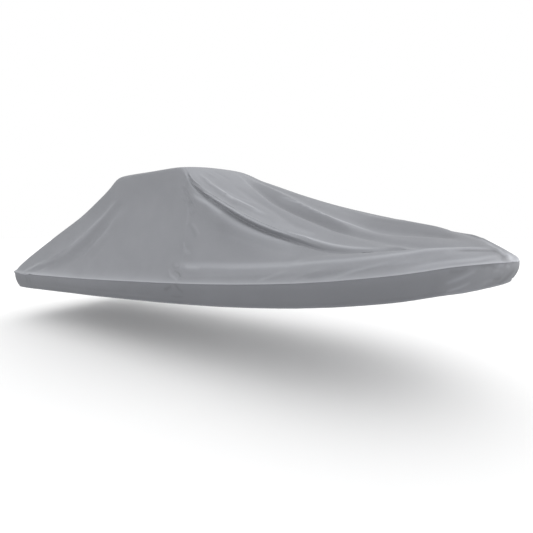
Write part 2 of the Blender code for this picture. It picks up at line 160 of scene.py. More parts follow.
# %% Sizes and cross-sections
# x: station. beam: half width at the gunwale seam. seam: that seam's height. centre: height on the
# centreline. power: how round the crown is. at: share of the beam at the shoulder seam. shoulder: its
# height. hollow: how far the side is drawn in. rise: height of the gunwale band. skirt: its depth.
Section = namedtuple("Section", "x beam seam centre power at shoulder hollow rise skirt")
SECTIONS = (
    Section(-4.05, 1.100, 0.000, 0.020, 2.0, 0.950, 0.012, 0.000, 0.004, 0.305),
    Section(-3.98, 1.185, 0.000, 0.065, 2.0, 0.950, 0.050, 0.000, 0.012, 0.305),
    Section(-3.80, 1.205, 0.002, 0.170, 2.0, 0.945, 0.145, 0.004, 0.030, 0.305),
    Section(-3.45, 1.210, 0.006, 0.350, 2.0, 0.930, 0.315, 0.008, 0.050, 0.300),
    Section(-2.95, 1.215, 0.018, 0.600, 2.0, 0.900, 0.545, 0.015, 0.070, 0.290),
    Section(-2.30, 1.230, 0.045, 0.905, 2.0, 0.865, 0.825, 0.025, 0.085, 0.285),
    Section(-1.67, 1.240, 0.070, 1.180, 2.0, 0.835, 1.090, 0.035, 0.090, 0.280),
    Section(-1.15, 1.250, 0.095, 1.435, 2.0, 0.820, 1.350, 0.040, 0.095, 0.280),
    Section(-0.86, 1.250, 0.110, 1.600, 2.0, 0.810, 1.515, 0.040, 0.100, 0.280),
    Section(-0.68, 1.250, 0.119, 1.705, 2.2, 0.800, 1.645, 0.040, 0.100, 0.280),
    Section(-0.50, 1.250, 0.129, 1.740, 2.2, 0.800, 1.660, 0.040, 0.100, 0.280),
    Section(0.00, 1.250, 0.157, 1.755, 2.2, 0.800, 1.665, 0.040, 0.100, 0.280),
    Section(0.45, 1.250, 0.182, 1.765, 2.2, 0.800, 1.674, 0.040, 0.105, 0.280),
    Section(0.66, 1.250, 0.197, 1.765, 2.2, 0.800, 1.668, 0.035, 0.110, 0.280),
    Section(0.80, 1.250, 0.206, 1.750, 2.0, 0.795, 1.465, 0.030, 0.120, 0.280),
    Section(1.27, 1.250, 0.242, 1.560, 1.6, 0.780, 1.190, 0.030, 0.145, 0.280),
    Section(1.88, 1.245, 0.296, 1.345, 1.5, 0.780, 0.915, 0.020, 0.170, 0.275),
    Section(2.35, 1.235, 0.347, 1.195, 1.4, 0.800, 0.762, 0.010, 0.180, 0.270),
    Section(2.66, 1.220, 0.388, 1.110, 1.4, 0.830, 0.668, 0.004, 0.190, 0.265),
    Section(3.00, 1.150, 0.440, 1.025, 1.3, 0.870, 0.644, 0.000, 0.184, 0.265),
    Section(3.32, 1.050, 0.487, 0.945, 1.2, 0.900, 0.680, 0.000, 0.184, 0.265),
    Section(3.76, 0.730, 0.560, 0.840, 1.2, 0.910, 0.730, 0.000, 0.162, 0.266),
    Section(4.07, 0.370, 0.575, 0.800, 1.3, 0.920, 0.705, 0.000, 0.118, 0.240),
    Section(4.28, 0.000, 0.565, 0.800, 1.3, 0.930, 0.610, 0.000, 0.035, 0.208),
)
print(len(SECTIONS), "cross-sections from", SECTIONS[0].x, "to", SECTIONS[-1].x)

# %% [markdown]
# ### Ribs and lines
# Ribs cross the cover and lines run along it. Forward of the fan's start the ribs swing round the
# bow. The lines count from 0 on the centreline to 1 on the shoulder seam, 2 on the coaming and 3 on
# the gunwale seam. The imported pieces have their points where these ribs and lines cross, and on one
# more line half way where two above the coaming lie far apart. The even steps in between let the
# corners be rounded gradually, in the same way as theirs, so the surface under the folds is the same.

# %% Ribs and lines
BOW_TIP = 4.28
FAN_START = 2.60
FINE = 6
STERN_RIBS = (-4.05, -3.98, -3.88)
RIBS_TO_TOWER = (-3.76, -0.80, 17)
RIBS_ON_TOWER = (-0.66, 0.66, 7)
RIBS_TO_FAN = (0.76, 2.60, 13)
FAN_RIBS = 14
CROWN_LINES = (0.0, 0.14, 0.28, 0.42, 0.56, 0.70, 0.84)
SIDE_LINES = (0.0, 0.05, 0.11, 0.18, 0.28, 0.46, 0.70)
GUNWALE_LINES = (0.0, 0.5, 1.0)


def refine(knots):
    """Add even steps between knots."""
    knots = np.asarray(knots, float)
    return np.interp(np.arange((len(knots) - 1) * FINE + 1) / FINE, np.arange(len(knots)), knots)


rib_runs = [STERN_RIBS]
rib_runs += [np.linspace(*run) for run in (RIBS_TO_TOWER, RIBS_ON_TOWER, RIBS_TO_FAN)]
rib_runs.append(np.linspace(FAN_START, BOW_TIP, FAN_RIBS + 1)[1:])
ribs = refine(np.concatenate(rib_runs))
side_lines = [1 + share for share in SIDE_LINES] + [2 + share for share in GUNWALE_LINES]
lines = refine(list(CROWN_LINES) + side_lines)
print(len(ribs), "ribs and", len(lines), "lines on each hand")

# %% [markdown]
# ## Half of the cover
# A table has only a few rows, and straight lines between them would show as facets. A cubic through
# them is smooth, and one that never overshoots a row adds no bumps of its own. Each half runs over
# the crown, down the hollow side, and down the gunwale band.

# %% A smooth reading of the table
def column(name, at):
    """Read a column of SECTIONS at any station, on a cubic that never overshoots the rows."""
    xs = np.array([row.x for row in SECTIONS])
    ys = np.array([getattr(row, name) for row in SECTIONS])
    step = np.diff(xs)
    slope = np.diff(ys) / step
    turns = slope[:-1] * slope[1:] <= 0
    total = np.where(turns, 1.0, slope[:-1] + slope[1:])
    inner = np.where(turns, 0.0, 2 * slope[:-1] * slope[1:] / total)
    tangent = np.concatenate(([slope[0]], inner, [slope[-1]]))
    i = np.clip(np.searchsorted(xs, at) - 1, 0, len(step) - 1)
    t = (at - xs[i]) / step[i]
    rise = ys[i + 1] - ys[i]
    start = tangent[i] * step[i]
    end = tangent[i + 1] * step[i]
    return ys[i] + t * (start + t * (3 * rise - 2 * start - end + t * (start + end - 2 * rise)))


print("beam at the tower", round(2 * float(column("beam", np.zeros(1))[0]), 3))

# %% Ends of the ribs
CENTRE_END = 3.88
BOW_FULLNESS = 1.35


def rib_ends(u):
    """Plan position of each rib's inner end on the centreline, and outer end on the gunwale."""
    turn = np.clip((u - FAN_START) / (BOW_TIP - FAN_START), 0, 1)
    angle = turn * np.pi / 2
    fan = u > FAN_START
    fan_beam = column("beam", np.array([FAN_START]))[0]
    inner = np.where(fan, FAN_START + (CENTRE_END - FAN_START) * turn, u)
    outer = np.where(fan, FAN_START + (BOW_TIP - FAN_START) * np.sin(angle), u)
    beam = np.where(fan, fan_beam * np.cos(angle) ** BOW_FULLNESS, column("beam", u))
    return inner, outer, np.maximum(beam, 0)


print("foremost rib from", [round(float(end[-1]), 2) for end in rib_ends(ribs)])

# %% Half of the cover
# CLOTH is the sheet's thickness, and CROWN the height of the tower's top, which comes to lie at 0. The
# coaming is the line where the side turns down into the gunwale band.
CLOTH = 0.002
CROWN = 1.755
COAMING_INSET = 0.055
COAMING_BULGE = 0.012
FULL_RISE = 0.10
LEAST_SIDE = 0.02
STERN_BOW = 0.05
STERN_REACH = 0.60


def arch(share):
    """0 at both ends and 1 in the middle, on a parabola."""
    return 4 * share * (1 - share)


def half_cover(u, v):
    """Points of one half of the cover, at every rib u and line v, with Y positive."""
    inner, outer, beam = (part[:, None] for part in rib_ends(u))
    reach = np.hypot(outer - inner, beam)
    names = ("seam", "power", "at", "shoulder", "hollow", "rise")
    station = {name: column(name, outer) for name in names}
    centre = column("centre", inner)
    v = v[None, :]

    on_crown = np.clip(v, 0, 1)
    crown_share = station["at"] * on_crown
    crown_height = centre - (centre - station["shoulder"]) * on_crown ** station["power"]

    on_side = np.clip(v - 1, 0, 1)
    stands = np.minimum(station["rise"] / FULL_RISE, 1)
    coaming_share = np.maximum(1 - COAMING_INSET * stands / reach, station["at"] + LEAST_SIDE)
    coaming = station["seam"] + station["rise"]
    across = (coaming_share - station["at"]) * reach
    fall = station["shoulder"] - coaming
    chord = np.hypot(across, fall)
    drawn_in = station["hollow"] * arch(on_side)
    side_share = station["at"] + (across * on_side - drawn_in * fall / chord) / reach
    side_height = station["shoulder"] - fall * on_side - drawn_in * across / chord

    on_gunwale = np.clip(v - 2, 0, 1)
    bulge = COAMING_BULGE * arch(on_gunwale) * stands
    gunwale_share = coaming_share + (1 - coaming_share) * on_gunwale + bulge / reach
    gunwale_height = coaming - station["rise"] * on_gunwale

    share = np.where(v <= 1, crown_share, np.where(v <= 2, side_share, gunwale_share))
    height = np.where(v <= 1, crown_height, np.where(v <= 2, side_height, gunwale_height))
    near_stern = np.clip(1 - (u[:, None] - SECTIONS[0].x) / STERN_REACH, 0, 1)
    x = inner + (outer - inner) * share - STERN_BOW * (1 - share ** 2) * near_stern
    return np.stack([x, beam * share, height - CROWN + CLOTH], axis=-1)


print("half of the cover has", half_cover(ribs, lines).shape[:2], "points")

# %% Smoothing and normals
ROUNDING = 10
TINY = 1e-9


def unit(vectors):
    """The same directions with a length of one."""
    return vectors / np.maximum(np.linalg.norm(vectors, axis=-1, keepdims=True), TINY)


def smooth(points):
    """Round the cloth's corners, the bow's rib with both of its hands. The edges stay."""
    for _ in range(ROUNDING):
        points[1:-1] += (points[:-2] + points[2:] - 2 * points[1:-1]) / 4
        points[-1, 1:-1] += (points[-2, 1:-1] + points[-2, -2:0:-1] - 2 * points[-1, 1:-1]) / 4
        points[:, 1:-1] += (points[:, :-2] + points[:, 2:] - 2 * points[:, 1:-1]) / 4
    return points


def normals_of(points):
    """Outward normals of a grid: its rows run forward and its columns to port, or round and down."""
    return unit(np.cross(np.gradient(points, axis=0), np.gradient(points, axis=1)))


starboard_half = half_cover(ribs, lines) * np.array([1, -1, 1])
whole = smooth(np.concatenate([starboard_half[:, :0:-1], half_cover(ribs, lines)], axis=1))
both_lines = np.concatenate([-lines[:0:-1], lines])
print("surface of", whole.shape[0], "by", whole.shape[1], "points")

# %% [markdown]
# ## A finer grid
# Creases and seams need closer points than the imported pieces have. A subdivision modifier would add
# them evenly and shrink the surface a little, while a cubic through the points that are there keeps
# it where it is. The steps crowd towards the shoulder seam and the coaming, where the cloth turns and
# its relief is finest.

# %% Closer points
RIB_STEPS = 9
CROWN_STEPS = (7,) * 7
SIDE_STEPS = (8, 9, 10, 11, 12, 12, 20, 12, 12)
CROWN_CROWDED = 6
SIDE_CROWDED = 6
CROWDING = 1.8


def closer(steps, crowded=None):
    """Places between a grid's points. In the crowded interval the steps crowd towards its end."""
    places = []
    for i, count in enumerate(steps):
        share = np.arange(count) / count
        if i == crowded:
            share = 1 - (1 - share) ** CROWDING
        places.append(FINE * (i + share))
    return np.concatenate(places + [[FINE * len(steps)]])


def resample(grid, places, axis):
    """Read a grid between its points with a cubic that passes through them."""
    grid = np.moveaxis(grid, axis, 0)
    last = len(grid) - 1
    i = np.minimum(places.astype(int), last - 1)
    t = (places - i).reshape((-1,) + (1,) * (grid.ndim - 1))
    before, here, there, after = (grid[np.clip(i + k, 0, last)] for k in (-1, 0, 1, 2))
    bend = 2 * before - 5 * here + 4 * there - after
    twist = 3 * here - 3 * there + after - before
    return np.moveaxis(here + t / 2 * (there - before + t * (bend + t * twist)), 0, axis)


half_crown = closer(CROWN_STEPS, CROWN_CROWDED)
half_side = closer(SIDE_STEPS, SIDE_CROWDED)
half_places = np.concatenate([half_crown, half_crown[-1] + half_side[1:]])
middle = len(lines) - 1
line_places = np.concatenate([middle - half_places[:0:-1], middle + half_places])
rib_places = closer((RIB_STEPS,) * ((len(ribs) - 1) // FINE))
u_of = np.interp(rib_places, np.arange(len(ribs)), ribs)
v_of = np.interp(line_places, np.arange(len(both_lines)), both_lines)
rows = len(u_of)
columns = len(v_of)
cover = resample(resample(whole, rib_places, 0), line_places, 1)
print("finer surface of", rows, "by", columns, "points")

# %% [markdown]
# ## Folds and creases
# Cloth that is held up at a few places and tied down at its hem falls into tension folds between them.
# Sculpting would make them too, but a list of lines can be read and changed. Each row is one fold, drawn as
# a ridge or trough along a smooth line through a few places. All but three of the large folds are in the
# imported pieces as well, mostly lower or wider there. Some of those lie a few centimetres away, and the
# ledge over the starboard gunwale band is one fold there and two here. The finer creases are only here.

# %% Large folds
# side: -1 starboard, 1 port. places: (u, v) along the fold. height: of a ridge, below zero for a
# trough. width: to its flank. lean: the share of the width that the outboard flank gains and the
# inboard one loses, where the fold runs forward. crisp: 2 for a round top, less for a sharp one and
# more for a flat one.
Fold = namedtuple("Fold", "side places height width lean crisp", defaults=(0.0, 2.0))
STARBOARD_FOLDS = (
    Fold(-1, ((0.72, 1.00), (1.10, 1.015), (1.60, 1.04), (2.00, 1.035),
              (2.45, 0.97)), 0.022, 0.032, -0.3, 1.4),
    Fold(-1, ((0.60, 0.995), (0.80, 1.005), (1.05, 1.027), (1.30, 1.053), (1.53, 1.085), (1.94, 1.113),
              (2.25, 1.105), (2.56, 1.06), (2.90, 1.00)), -0.047, 0.027, 0.1, 2.4),
    Fold(-1, ((0.74, 1.07), (0.90, 1.105), (1.07, 1.14), (1.35, 1.21), (1.60, 1.26), (2.00, 1.31),
              (2.30, 1.33)), 0.056, 0.090, 0.25, 1.8),
    Fold(-1, ((0.78, 0.79), (1.03, 0.82), (1.29, 0.85), (1.46, 0.89)), 0.022, 0.022, 0.0, 1.2),
    Fold(-1, ((1.20, 0.18), (1.56, 0.29), (1.80, 0.36), (2.10, 0.43), (2.37, 0.49), (2.60, 0.54),
              (2.76, 0.59)), 0.040, 0.045, 0.0, 1.2),
    Fold(-1, ((1.02, 0.22), (1.40, 0.38), (1.80, 0.53), (2.10, 0.57), (2.50, 0.61), (2.85, 0.68),
              (3.05, 0.80)), -0.056, 0.070),
    Fold(-1, ((2.20, 1.00), (2.48, 0.97), (2.75, 0.955), (2.97, 0.97),
              (3.16, 1.02)), 0.026, 0.040, -0.3, 1.4),
    Fold(-1, ((0.50, 2.06), (1.20, 2.14), (1.90, 2.18), (2.50, 2.20), (2.80, 2.19),
              (3.14, 2.14)), 0.060, 0.110, -0.2, 1.3),
    Fold(-1, ((2.40, 2.12), (2.70, 2.16), (2.98, 2.13), (3.21, 2.14), (3.46, 2.12),
              (3.76, 2.08)), 0.024, 0.055, 0.1, 1.3),
    Fold(-1, ((-3.52, 2.47), (-3.09, 1.76), (-2.42, 1.63)), 0.026, 0.040, 0.0, 1.5),
    Fold(-1, ((-2.85, 1.70), (-2.05, 1.50), (-1.41, 1.36), (-0.98, 1.30),
              (-0.55, 1.22)), 0.045, 0.080, 0.0, 1.4),
    Fold(-1, ((-2.80, 1.96), (-2.26, 1.84), (-1.82, 1.69), (-1.38, 1.55), (-0.81, 1.40)), -0.036, 0.100),
    Fold(-1, ((1.05, 1.42), (1.66, 1.44), (2.10, 1.55), (2.40, 1.60)), -0.026, 0.130, 0.4),
    Fold(-1, ((2.55, 0.34), (3.01, 0.52), (3.18, 0.55), (3.38, 0.60), (3.62, 0.66)), -0.048, 0.110),
    Fold(-1, ((2.40, 0.10), (2.80, 0.20), (3.18, 0.26), (3.45, 0.30), (3.75, 0.34)), 0.020, 0.070, 0.0, 1.8),
    Fold(-1, ((2.90, 0.72), (3.12, 0.88), (3.30, 1.00), (3.49, 1.00), (3.70, 0.95)), -0.024, 0.055),
    Fold(-1, ((4.14, 0.30), (4.05, 0.46), (3.94, 0.66), (3.84, 0.90)), 0.018, 0.036, 0.0, 1.3),
)
PORT_FOLDS = (
    Fold(1, ((0.74, 1.00), (1.70, 1.02), (2.55, 0.99)), 0.020, 0.038, 0.0, 1.5),
    Fold(1, ((0.80, 1.06), (1.60, 1.14), (2.50, 1.20)), -0.048, 0.050, 0.2),
    Fold(1, ((0.85, 1.12), (1.50, 1.21), (2.10, 1.28)), 0.022, 0.060, 0.5),
    Fold(1, ((0.85, 0.70), (1.60, 0.80), (2.40, 0.84)), 0.022, 0.040, 0.0, 1.4),
    Fold(1, ((1.00, 0.34), (1.95, 0.46), (2.90, 0.68)), -0.036, 0.095),
    Fold(1, ((1.10, 0.14), (2.10, 0.24), (3.00, 0.48)), 0.026, 0.060, 0.0, 1.5),
    Fold(1, ((0.66, 1.92), (1.80, 2.06), (2.80, 2.09), (3.25, 2.14), (3.66, 2.12)), 0.046, 0.105, 0.35, 1.3),
    Fold(1, ((-3.40, 2.50), (-2.90, 1.74), (-2.20, 1.56)), 0.018, 0.040, 0.0, 1.6),
    Fold(1, ((-2.55, 1.50), (-1.50, 1.34), (-0.66, 1.20)), 0.028, 0.065, 0.0, 1.6),
    Fold(1, ((-2.50, 1.76), (-1.60, 1.55), (-0.80, 1.38)), -0.020, 0.090),
    Fold(1, ((2.95, 0.58), (3.30, 0.76), (3.60, 0.84)), -0.026, 0.065),
    Fold(1, ((4.12, 0.32), (4.02, 0.52), (3.90, 0.80)), 0.016, 0.040, 0.0, 1.3),
    Fold(1, ((-3.60, 0.80), (-2.30, 0.66), (-0.95, 0.74)), 0.024, 0.100, 0.0, 1.8),
    Fold(1, ((-3.50, 0.30), (-2.20, 0.22), (-1.00, 0.34)), -0.026, 0.130),
)
AFT_CROWN_FOLDS = (
    Fold(-1, ((-3.60, 0.72), (-2.30, 0.60), (-0.95, 0.70)), 0.024, 0.110, 0.0, 1.8),
    Fold(-1, ((-3.50, 0.20), (-2.40, 0.30), (-1.00, 0.25)), -0.022, 0.120),
)
FOLDS = STARBOARD_FOLDS + PORT_FOLDS + AFT_CROWN_FOLDS
print(len(FOLDS), "large folds")

# %% Finer creases
CREASES = (
    Fold(-1, ((0.92, 0.29), (1.17, 0.36), (1.42, 0.49), (1.65, 0.60), (1.95, 0.65), (2.24, 0.70),
              (2.60, 0.73)), 0.012, 0.030, 0.0, 1.3),
    Fold(-1, ((1.10, 0.58), (1.50, 0.67), (1.84, 0.73), (2.17, 0.82), (2.50, 0.83)), -0.012, 0.045),
    Fold(-1, ((1.31, 0.85), (1.58, 0.84), (1.80, 0.85), (2.02, 0.89)), 0.015, 0.018, 0.0, 1.2),
    Fold(-1, ((1.06, 0.87), (1.25, 0.90), (1.46, 0.93)), -0.009, 0.018, 0.0, 1.8),
    Fold(-1, ((0.74, 0.92), (0.86, 0.91), (1.05, 0.93)), 0.007, 0.012, 0.0, 1.4),
    Fold(-1, ((0.73, 0.86), (0.84, 0.855), (1.00, 0.87)), -0.007, 0.013, 0.0, 1.6),
    Fold(-1, ((0.76, 0.68), (0.84, 0.67), (0.96, 0.66)), 0.008, 0.016, 0.0, 1.4),
    Fold(-1, ((0.78, 0.56), (0.90, 0.54), (1.06, 0.55)), -0.006, 0.030),
    Fold(-1, ((0.95, 0.04), (1.20, 0.08), (1.60, 0.16), (2.00, 0.24)), -0.014, 0.050),
    Fold(-1, ((2.60, 1.17), (2.78, 1.24), (2.94, 1.45)), -0.012, 0.040),
    Fold(-1, ((2.86, 0.84), (3.00, 0.92), (3.12, 1.02)), 0.012, 0.026, 0.0, 1.4),
    Fold(-1, ((3.32, 2.22), (3.53, 2.20), (3.74, 2.22)), -0.009, 0.024),
    Fold(-1, ((-3.45, 2.88), (-2.95, 1.98), (-2.40, 1.76)), -0.012, 0.035),
    Fold(-1, ((-3.66, 2.92), (-3.42, 2.74), (-3.22, 2.86)), 0.012, 0.026, 0.0, 1.5),
    Fold(-1, ((-1.55, 1.76), (-1.21, 1.58), (-0.80, 1.45), (-0.46, 1.32)), 0.018, 0.045, 0.0, 1.5),
    Fold(-1, ((-1.40, 1.92), (-1.10, 1.70), (-0.70, 1.56)), -0.008, 0.060),
    Fold(-1, ((2.30, 2.84), (2.47, 2.60), (2.65, 2.44), (2.80, 2.26)), 0.010, 0.020, 0.0, 1.5),
    Fold(-1, ((2.60, 2.86), (2.80, 2.62), (2.92, 2.48), (3.02, 2.38)), 0.011, 0.018, 0.0, 1.4),
    Fold(-1, ((2.48, 2.86), (2.68, 2.68), (2.84, 2.52)), -0.008, 0.018),
    Fold(-1, ((1.96, 2.80), (2.13, 2.62), (2.30, 2.45)), 0.006, 0.018, 0.0, 1.6),
    Fold(-1, ((3.00, 2.56), (3.09, 2.50), (3.18, 2.54)), 0.007, 0.018, 0.0, 1.5),
    Fold(-1, ((3.12, 2.84), (3.30, 2.78), (3.45, 2.70), (3.60, 2.58), (3.74, 2.44)), 0.010, 0.016, 0.0, 1.4),
    Fold(-1, ((3.20, 2.62), (3.40, 2.52), (3.60, 2.38)), -0.008, 0.022),
    Fold(-1, ((0.70, 0.995), (0.80, 1.006), (0.92, 1.016), (1.10, 1.030)), -0.014, 0.020),
    Fold(-1, ((3.20, 0.06), (3.40, 0.14), (3.60, 0.18), (3.78, 0.14), (3.95, 0.06)), 0.012, 0.150),
    Fold(-1, ((3.36, 2.20), (3.49, 2.17), (3.57, 2.13), (3.67, 2.08),
              (3.78, 1.98)), -0.010, 0.016, 0.0, 1.8),
    Fold(-1, ((0.56, 1.98), (0.68, 2.29), (0.78, 2.72)), 0.009, 0.020, 0.0, 1.5),
    Fold(-1, ((0.70, 1.98), (0.79, 2.29), (0.80, 2.50)), -0.009, 0.018, 0.0, 1.8),
    Fold(-1, ((0.84, 2.02), (0.86, 2.24), (0.88, 2.46)), 0.008, 0.016, 0.0, 1.6),
    Fold(-1, ((0.74, 1.62), (0.82, 1.72), (0.94, 1.86)), 0.007, 0.026, 0.0, 1.6),
    Fold(-1, ((3.74, 2.80), (3.82, 2.50), (3.90, 2.30)), 0.010, 0.018, 0.0, 1.5),
    Fold(-1, ((3.86, 2.86), (3.94, 2.55), (4.02, 2.40)), -0.008, 0.020, 0.0, 1.8),
    Fold(-1, ((4.00, 2.90), (4.06, 2.60), (4.10, 2.30)), 0.007, 0.018, 0.0, 1.6),
    Fold(-1, ((0.70, 1.60), (0.78, 1.66), (0.84, 1.78)), 0.006, 0.022, 0.0, 1.5),
    Fold(-1, ((0.58, 2.15), (0.66, 2.35), (0.72, 2.60)), 0.007, 0.022, 0.0, 1.5),
    Fold(-1, ((0.84, 2.10), (0.80, 2.30), (0.78, 2.55)), 0.007, 0.020, 0.0, 1.5),
    Fold(-1, ((0.98, 1.20), (1.06, 1.30), (1.10, 1.45)), 0.005, 0.030, 0.0, 1.8),
    Fold(1, ((1.00, 0.90), (1.40, 0.92), (1.90, 0.90)), 0.010, 0.022, 0.0, 1.4),
    Fold(1, ((1.30, 0.56), (1.80, 0.64), (2.40, 0.72)), 0.011, 0.032, 0.0, 1.5),
    Fold(1, ((-1.60, 1.80), (-1.00, 1.60), (-0.50, 1.40)), 0.014, 0.045, 0.0, 1.6),
    Fold(1, ((2.20, 2.85), (2.45, 2.60), (2.70, 2.42)), 0.009, 0.022, 0.0, 1.5),
    Fold(1, ((3.20, 2.85), (3.45, 2.65), (3.70, 2.45)), 0.009, 0.018, 0.0, 1.5),
    Fold(1, ((3.76, 2.85), (3.84, 2.50), (3.94, 2.30)), 0.008, 0.020, 0.0, 1.5),
    Fold(1, ((-3.60, 2.90), (-3.40, 2.70), (-3.15, 2.84)), 0.010, 0.030, 0.0, 1.6),
)
print(len(CREASES), "finer creases")

# %% [markdown]
# ### From a list to a surface
# Each point of the cloth is lifted by its distance to the fold's line, as far as the line's height
# there. Towards its ends a fold fades out, so that it leaves no step. Height and width are lengths on
# the cloth and not shares of the grid, so a fold stays as wide where the ribs spread.

# %% A fold's line
FOLD_POINTS = 32


def fold_route(points, u, v, fold):
    """A fold's line on the cloth, as points in space, on a smooth curve through its places."""
    at = np.linspace(0, len(fold.places) - 1, FOLD_POINTS)
    places = resample(np.array(fold.places), at, 0)
    row = np.interp(places[:, 0], u, np.arange(len(u)))
    line = np.interp(fold.side * places[:, 1], v, np.arange(len(v)))
    strips = resample(points, row, 0)
    return np.array([resample(strip, line[[k]], 0)[0] for k, strip in enumerate(strips)])


ridge_route = fold_route(cover, u_of, v_of, FOLDS[0])
print("the first fold runs from", ridge_route[0].round(2), "to", ridge_route[-1].round(2))

# %% A fold's height
FOLD_REACH = 3.5
FOLD_END = 0.15


def fold_height(points, normals, route, fold):
    """How far a fold lifts each point, from the point's distance to the fold's line."""
    reach = fold.width * FOLD_REACH
    near = np.all((points > route.min(0) - reach) & (points < route.max(0) + reach), axis=-1)
    spot = points[near]
    facing = normals[near]
    nearest = np.full(len(spot), np.inf)
    outboard = np.zeros(len(spot))
    travelled = np.zeros(len(spot))
    steps = len(route) - 1
    for i in range(steps):
        leg = route[i + 1] - route[i]
        offset = spot - route[i]
        share = np.clip(offset @ leg / max(leg @ leg, TINY), 0, 1)
        distance = np.linalg.norm(offset - share[:, None] * leg, axis=-1)
        closer_here = distance < nearest
        nearest = np.where(closer_here, distance, nearest)
        travelled = np.where(closer_here, (i + share) / steps, travelled)
        hand = np.sign((np.cross(leg, offset) * facing).sum(-1))
        outboard = np.where(closer_here, hand * fold.side, outboard)
    from_end = np.clip(np.minimum(travelled, 1 - travelled) / FOLD_END, 0, 1)
    fade = np.sqrt(np.sin(np.pi * np.clip(travelled, 0, 1))) * from_end ** 2 * (3 - 2 * from_end)
    width = fold.width * (1 + fold.lean * outboard)
    height = np.zeros(points.shape[:2])
    height[near] = fold.height * fade * np.exp(-((nearest / width) ** fold.crisp))
    return height


# %% All folds, then all creases
FOLD_FADE_V = 0.5
CREASE_FADE_V = 0.12
FOLD_FADE_U = 0.2


def folded(points, u, v, folds, fade_v):
    """The sum of all folds, which dies away towards the gunwale seam and the stern."""
    normals = normals_of(points)
    lift = np.zeros(points.shape[:2])
    for fold in folds:
        lift += fold_height(points, normals, fold_route(points, u, v, fold), fold)
    off_gunwale = np.clip((3 - np.abs(v)) / fade_v, 0, 1)
    off_stern = np.clip((u - u[0]) / FOLD_FADE_U, 0, 1)
    return lift * off_gunwale * off_stern[:, None]


for folds, fade_v in ((FOLDS, FOLD_FADE_V), (CREASES, CREASE_FADE_V)):
    lift = folded(cover, u_of, v_of, folds, fade_v)
    cover = cover + normals_of(cover) * lift[..., None]
    print(len(folds), "folds lift the cloth by", round(lift.min(), 3), "to", round(lift.max(), 3))

# %% [markdown]
# ## Seams and puckers
# A sewn edge stands a little proud, and where the cloth is taut it shows as a double ridge. The
# thread draws the cloth up, so short puckers stand across the seam and die away beside it. They could
# be bumps in a material, but a bump has no outline and casts no shadow, so the grid itself is moved.
# A sum of a few sines with uneven lengths gives puckers that never repeat. How much paler each place is
# painted is kept along the way and colours the cloth later. This is a painted highlight along the seams'
# ridges and the lip, with some wear.

# %% Distances from the seams
def travel(grid, axis):
    """Distance travelled along a grid's axis, in metres."""
    step = np.linalg.norm(np.diff(grid, axis=axis), axis=-1)
    pad = [(0, 0), (0, 0)]
    pad[axis] = (1, 0)
    return np.pad(np.cumsum(step, axis=axis), pad)


def line_at(value):
    """The grid's column that is nearest to a line."""
    return int(np.argmin(np.abs(v_of - value)))


def joint_rib(station):
    """The grid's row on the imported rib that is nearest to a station."""
    return RIB_STEPS * int(np.argmin(np.abs(ribs[::FINE] - station)))


SEAM_STATION = 0.76
SKIRT_STATION = -3.02

across = travel(cover, 1)
forward = travel(cover, 0)
PANEL_RIB = joint_rib(SEAM_STATION)
CORNER_RIB = joint_rib(SKIRT_STATION)
print("side panels join at", round(u_of[PANEL_RIB], 3))
print("the stern band ends at", round(u_of[CORNER_RIB], 3))

# %% An uneven wave
RIPPLE_SINES = 6
RIPPLE_LENGTHS = (0.6, 1.7)
RIPPLE_PEAK = 3


def ripple(along, wave, seed):
    """An uneven wave of about that length, mostly between -1 and 1."""
    draw = np.random.default_rng(seed)
    total = 0.0
    for _ in range(RIPPLE_SINES):
        length = wave * draw.uniform(*RIPPLE_LENGTHS)
        total = total + np.sin(2 * np.pi * along / length + draw.uniform(0, 2 * np.pi))
    return total / RIPPLE_PEAK


sample_wave = ripple(forward[:, line_at(0)], 1.0, 1)
print("a long wave peaks at", round(sample_wave.min(), 2), "and", round(sample_wave.max(), 2))

# %% Shoulder seams
# FELL_ROWS: each ridge's distance inboard, and how much paler it is painted, as a highlight along the ridge
# with some wear. At the stations in FELL_SPREAD both lie FELL_OUTBOARD further out. The pull on them rises
# over FELL_FROM and falls over FELL_TO.
FELL_ROWS = ((0.0, 1.0), (0.034, 0.4))
FELL_OUTBOARD = (0.004, 0.044)
FELL_SPREAD = (0.85, 1.6)
FELL_RIDGE = 0.010
FELL_HEIGHT = 0.011
FELL_FROM = (0.55, 0.85)
FELL_TO = (2.0, 2.6)
FELL_REST = 0.15


def rise_and_fall(value, start, end):
    """0 before start, up to 1, and back to 0 after end."""
    up = np.clip((value - start[0]) / (start[1] - start[0]), 0, 1)
    down = np.clip((end[1] - value) / (end[1] - end[0]), 0, 1)
    return up * down


relief = np.zeros((rows, columns))
# Painted highlights and painted shade for the cloth's colour, with some wear, are summed here.
painted_light_and_wear = np.zeros((rows, columns))
taut = FELL_REST + (1 - FELL_REST) * rise_and_fall(u_of, FELL_FROM, FELL_TO)
outboard = np.interp(u_of, FELL_SPREAD, FELL_OUTBOARD)
for hand in (-1, 1):
    inward = -hand * (across - across[:, [line_at(hand)]]) + (outboard * taut)[:, None]
    for ridge, highlight_and_wear in FELL_ROWS:
        ridged = taut[:, None] * np.exp(-((inward - ridge) / FELL_RIDGE) ** 2)
        relief += FELL_HEIGHT * ridged
        painted_light_and_wear += highlight_and_wear * ridged
print("the shoulder seams stand", round(relief.max(), 4), "m proud")

# %% Gunwale seam
# The lip is where the cloth rolls over the boat's edge. Its paler tone is given in two rows, each how much
# and how far up: a painted highlight along the roll, with some wear.
# GATHER_SEEDS: for each hand, one for the wave and one for its patches.
LIP = 0.022
LIP_ABOVE = 0.045
LIP_BOW = (3.80, 4.15)
LIP_BOW_LOSS = 0.9
LIP_LIGHT_AND_WEAR = ((0.9, 0.045), (0.6, 0.013))
GATHER = 0.0012
GATHER_WAVE = 0.16
GATHER_SLANT = -0.8
GATHER_REACH = 0.12
GATHER_PATCH = 1.1
GATHER_SEEDS = {-1: (11, 51), 1: (12, 52)}

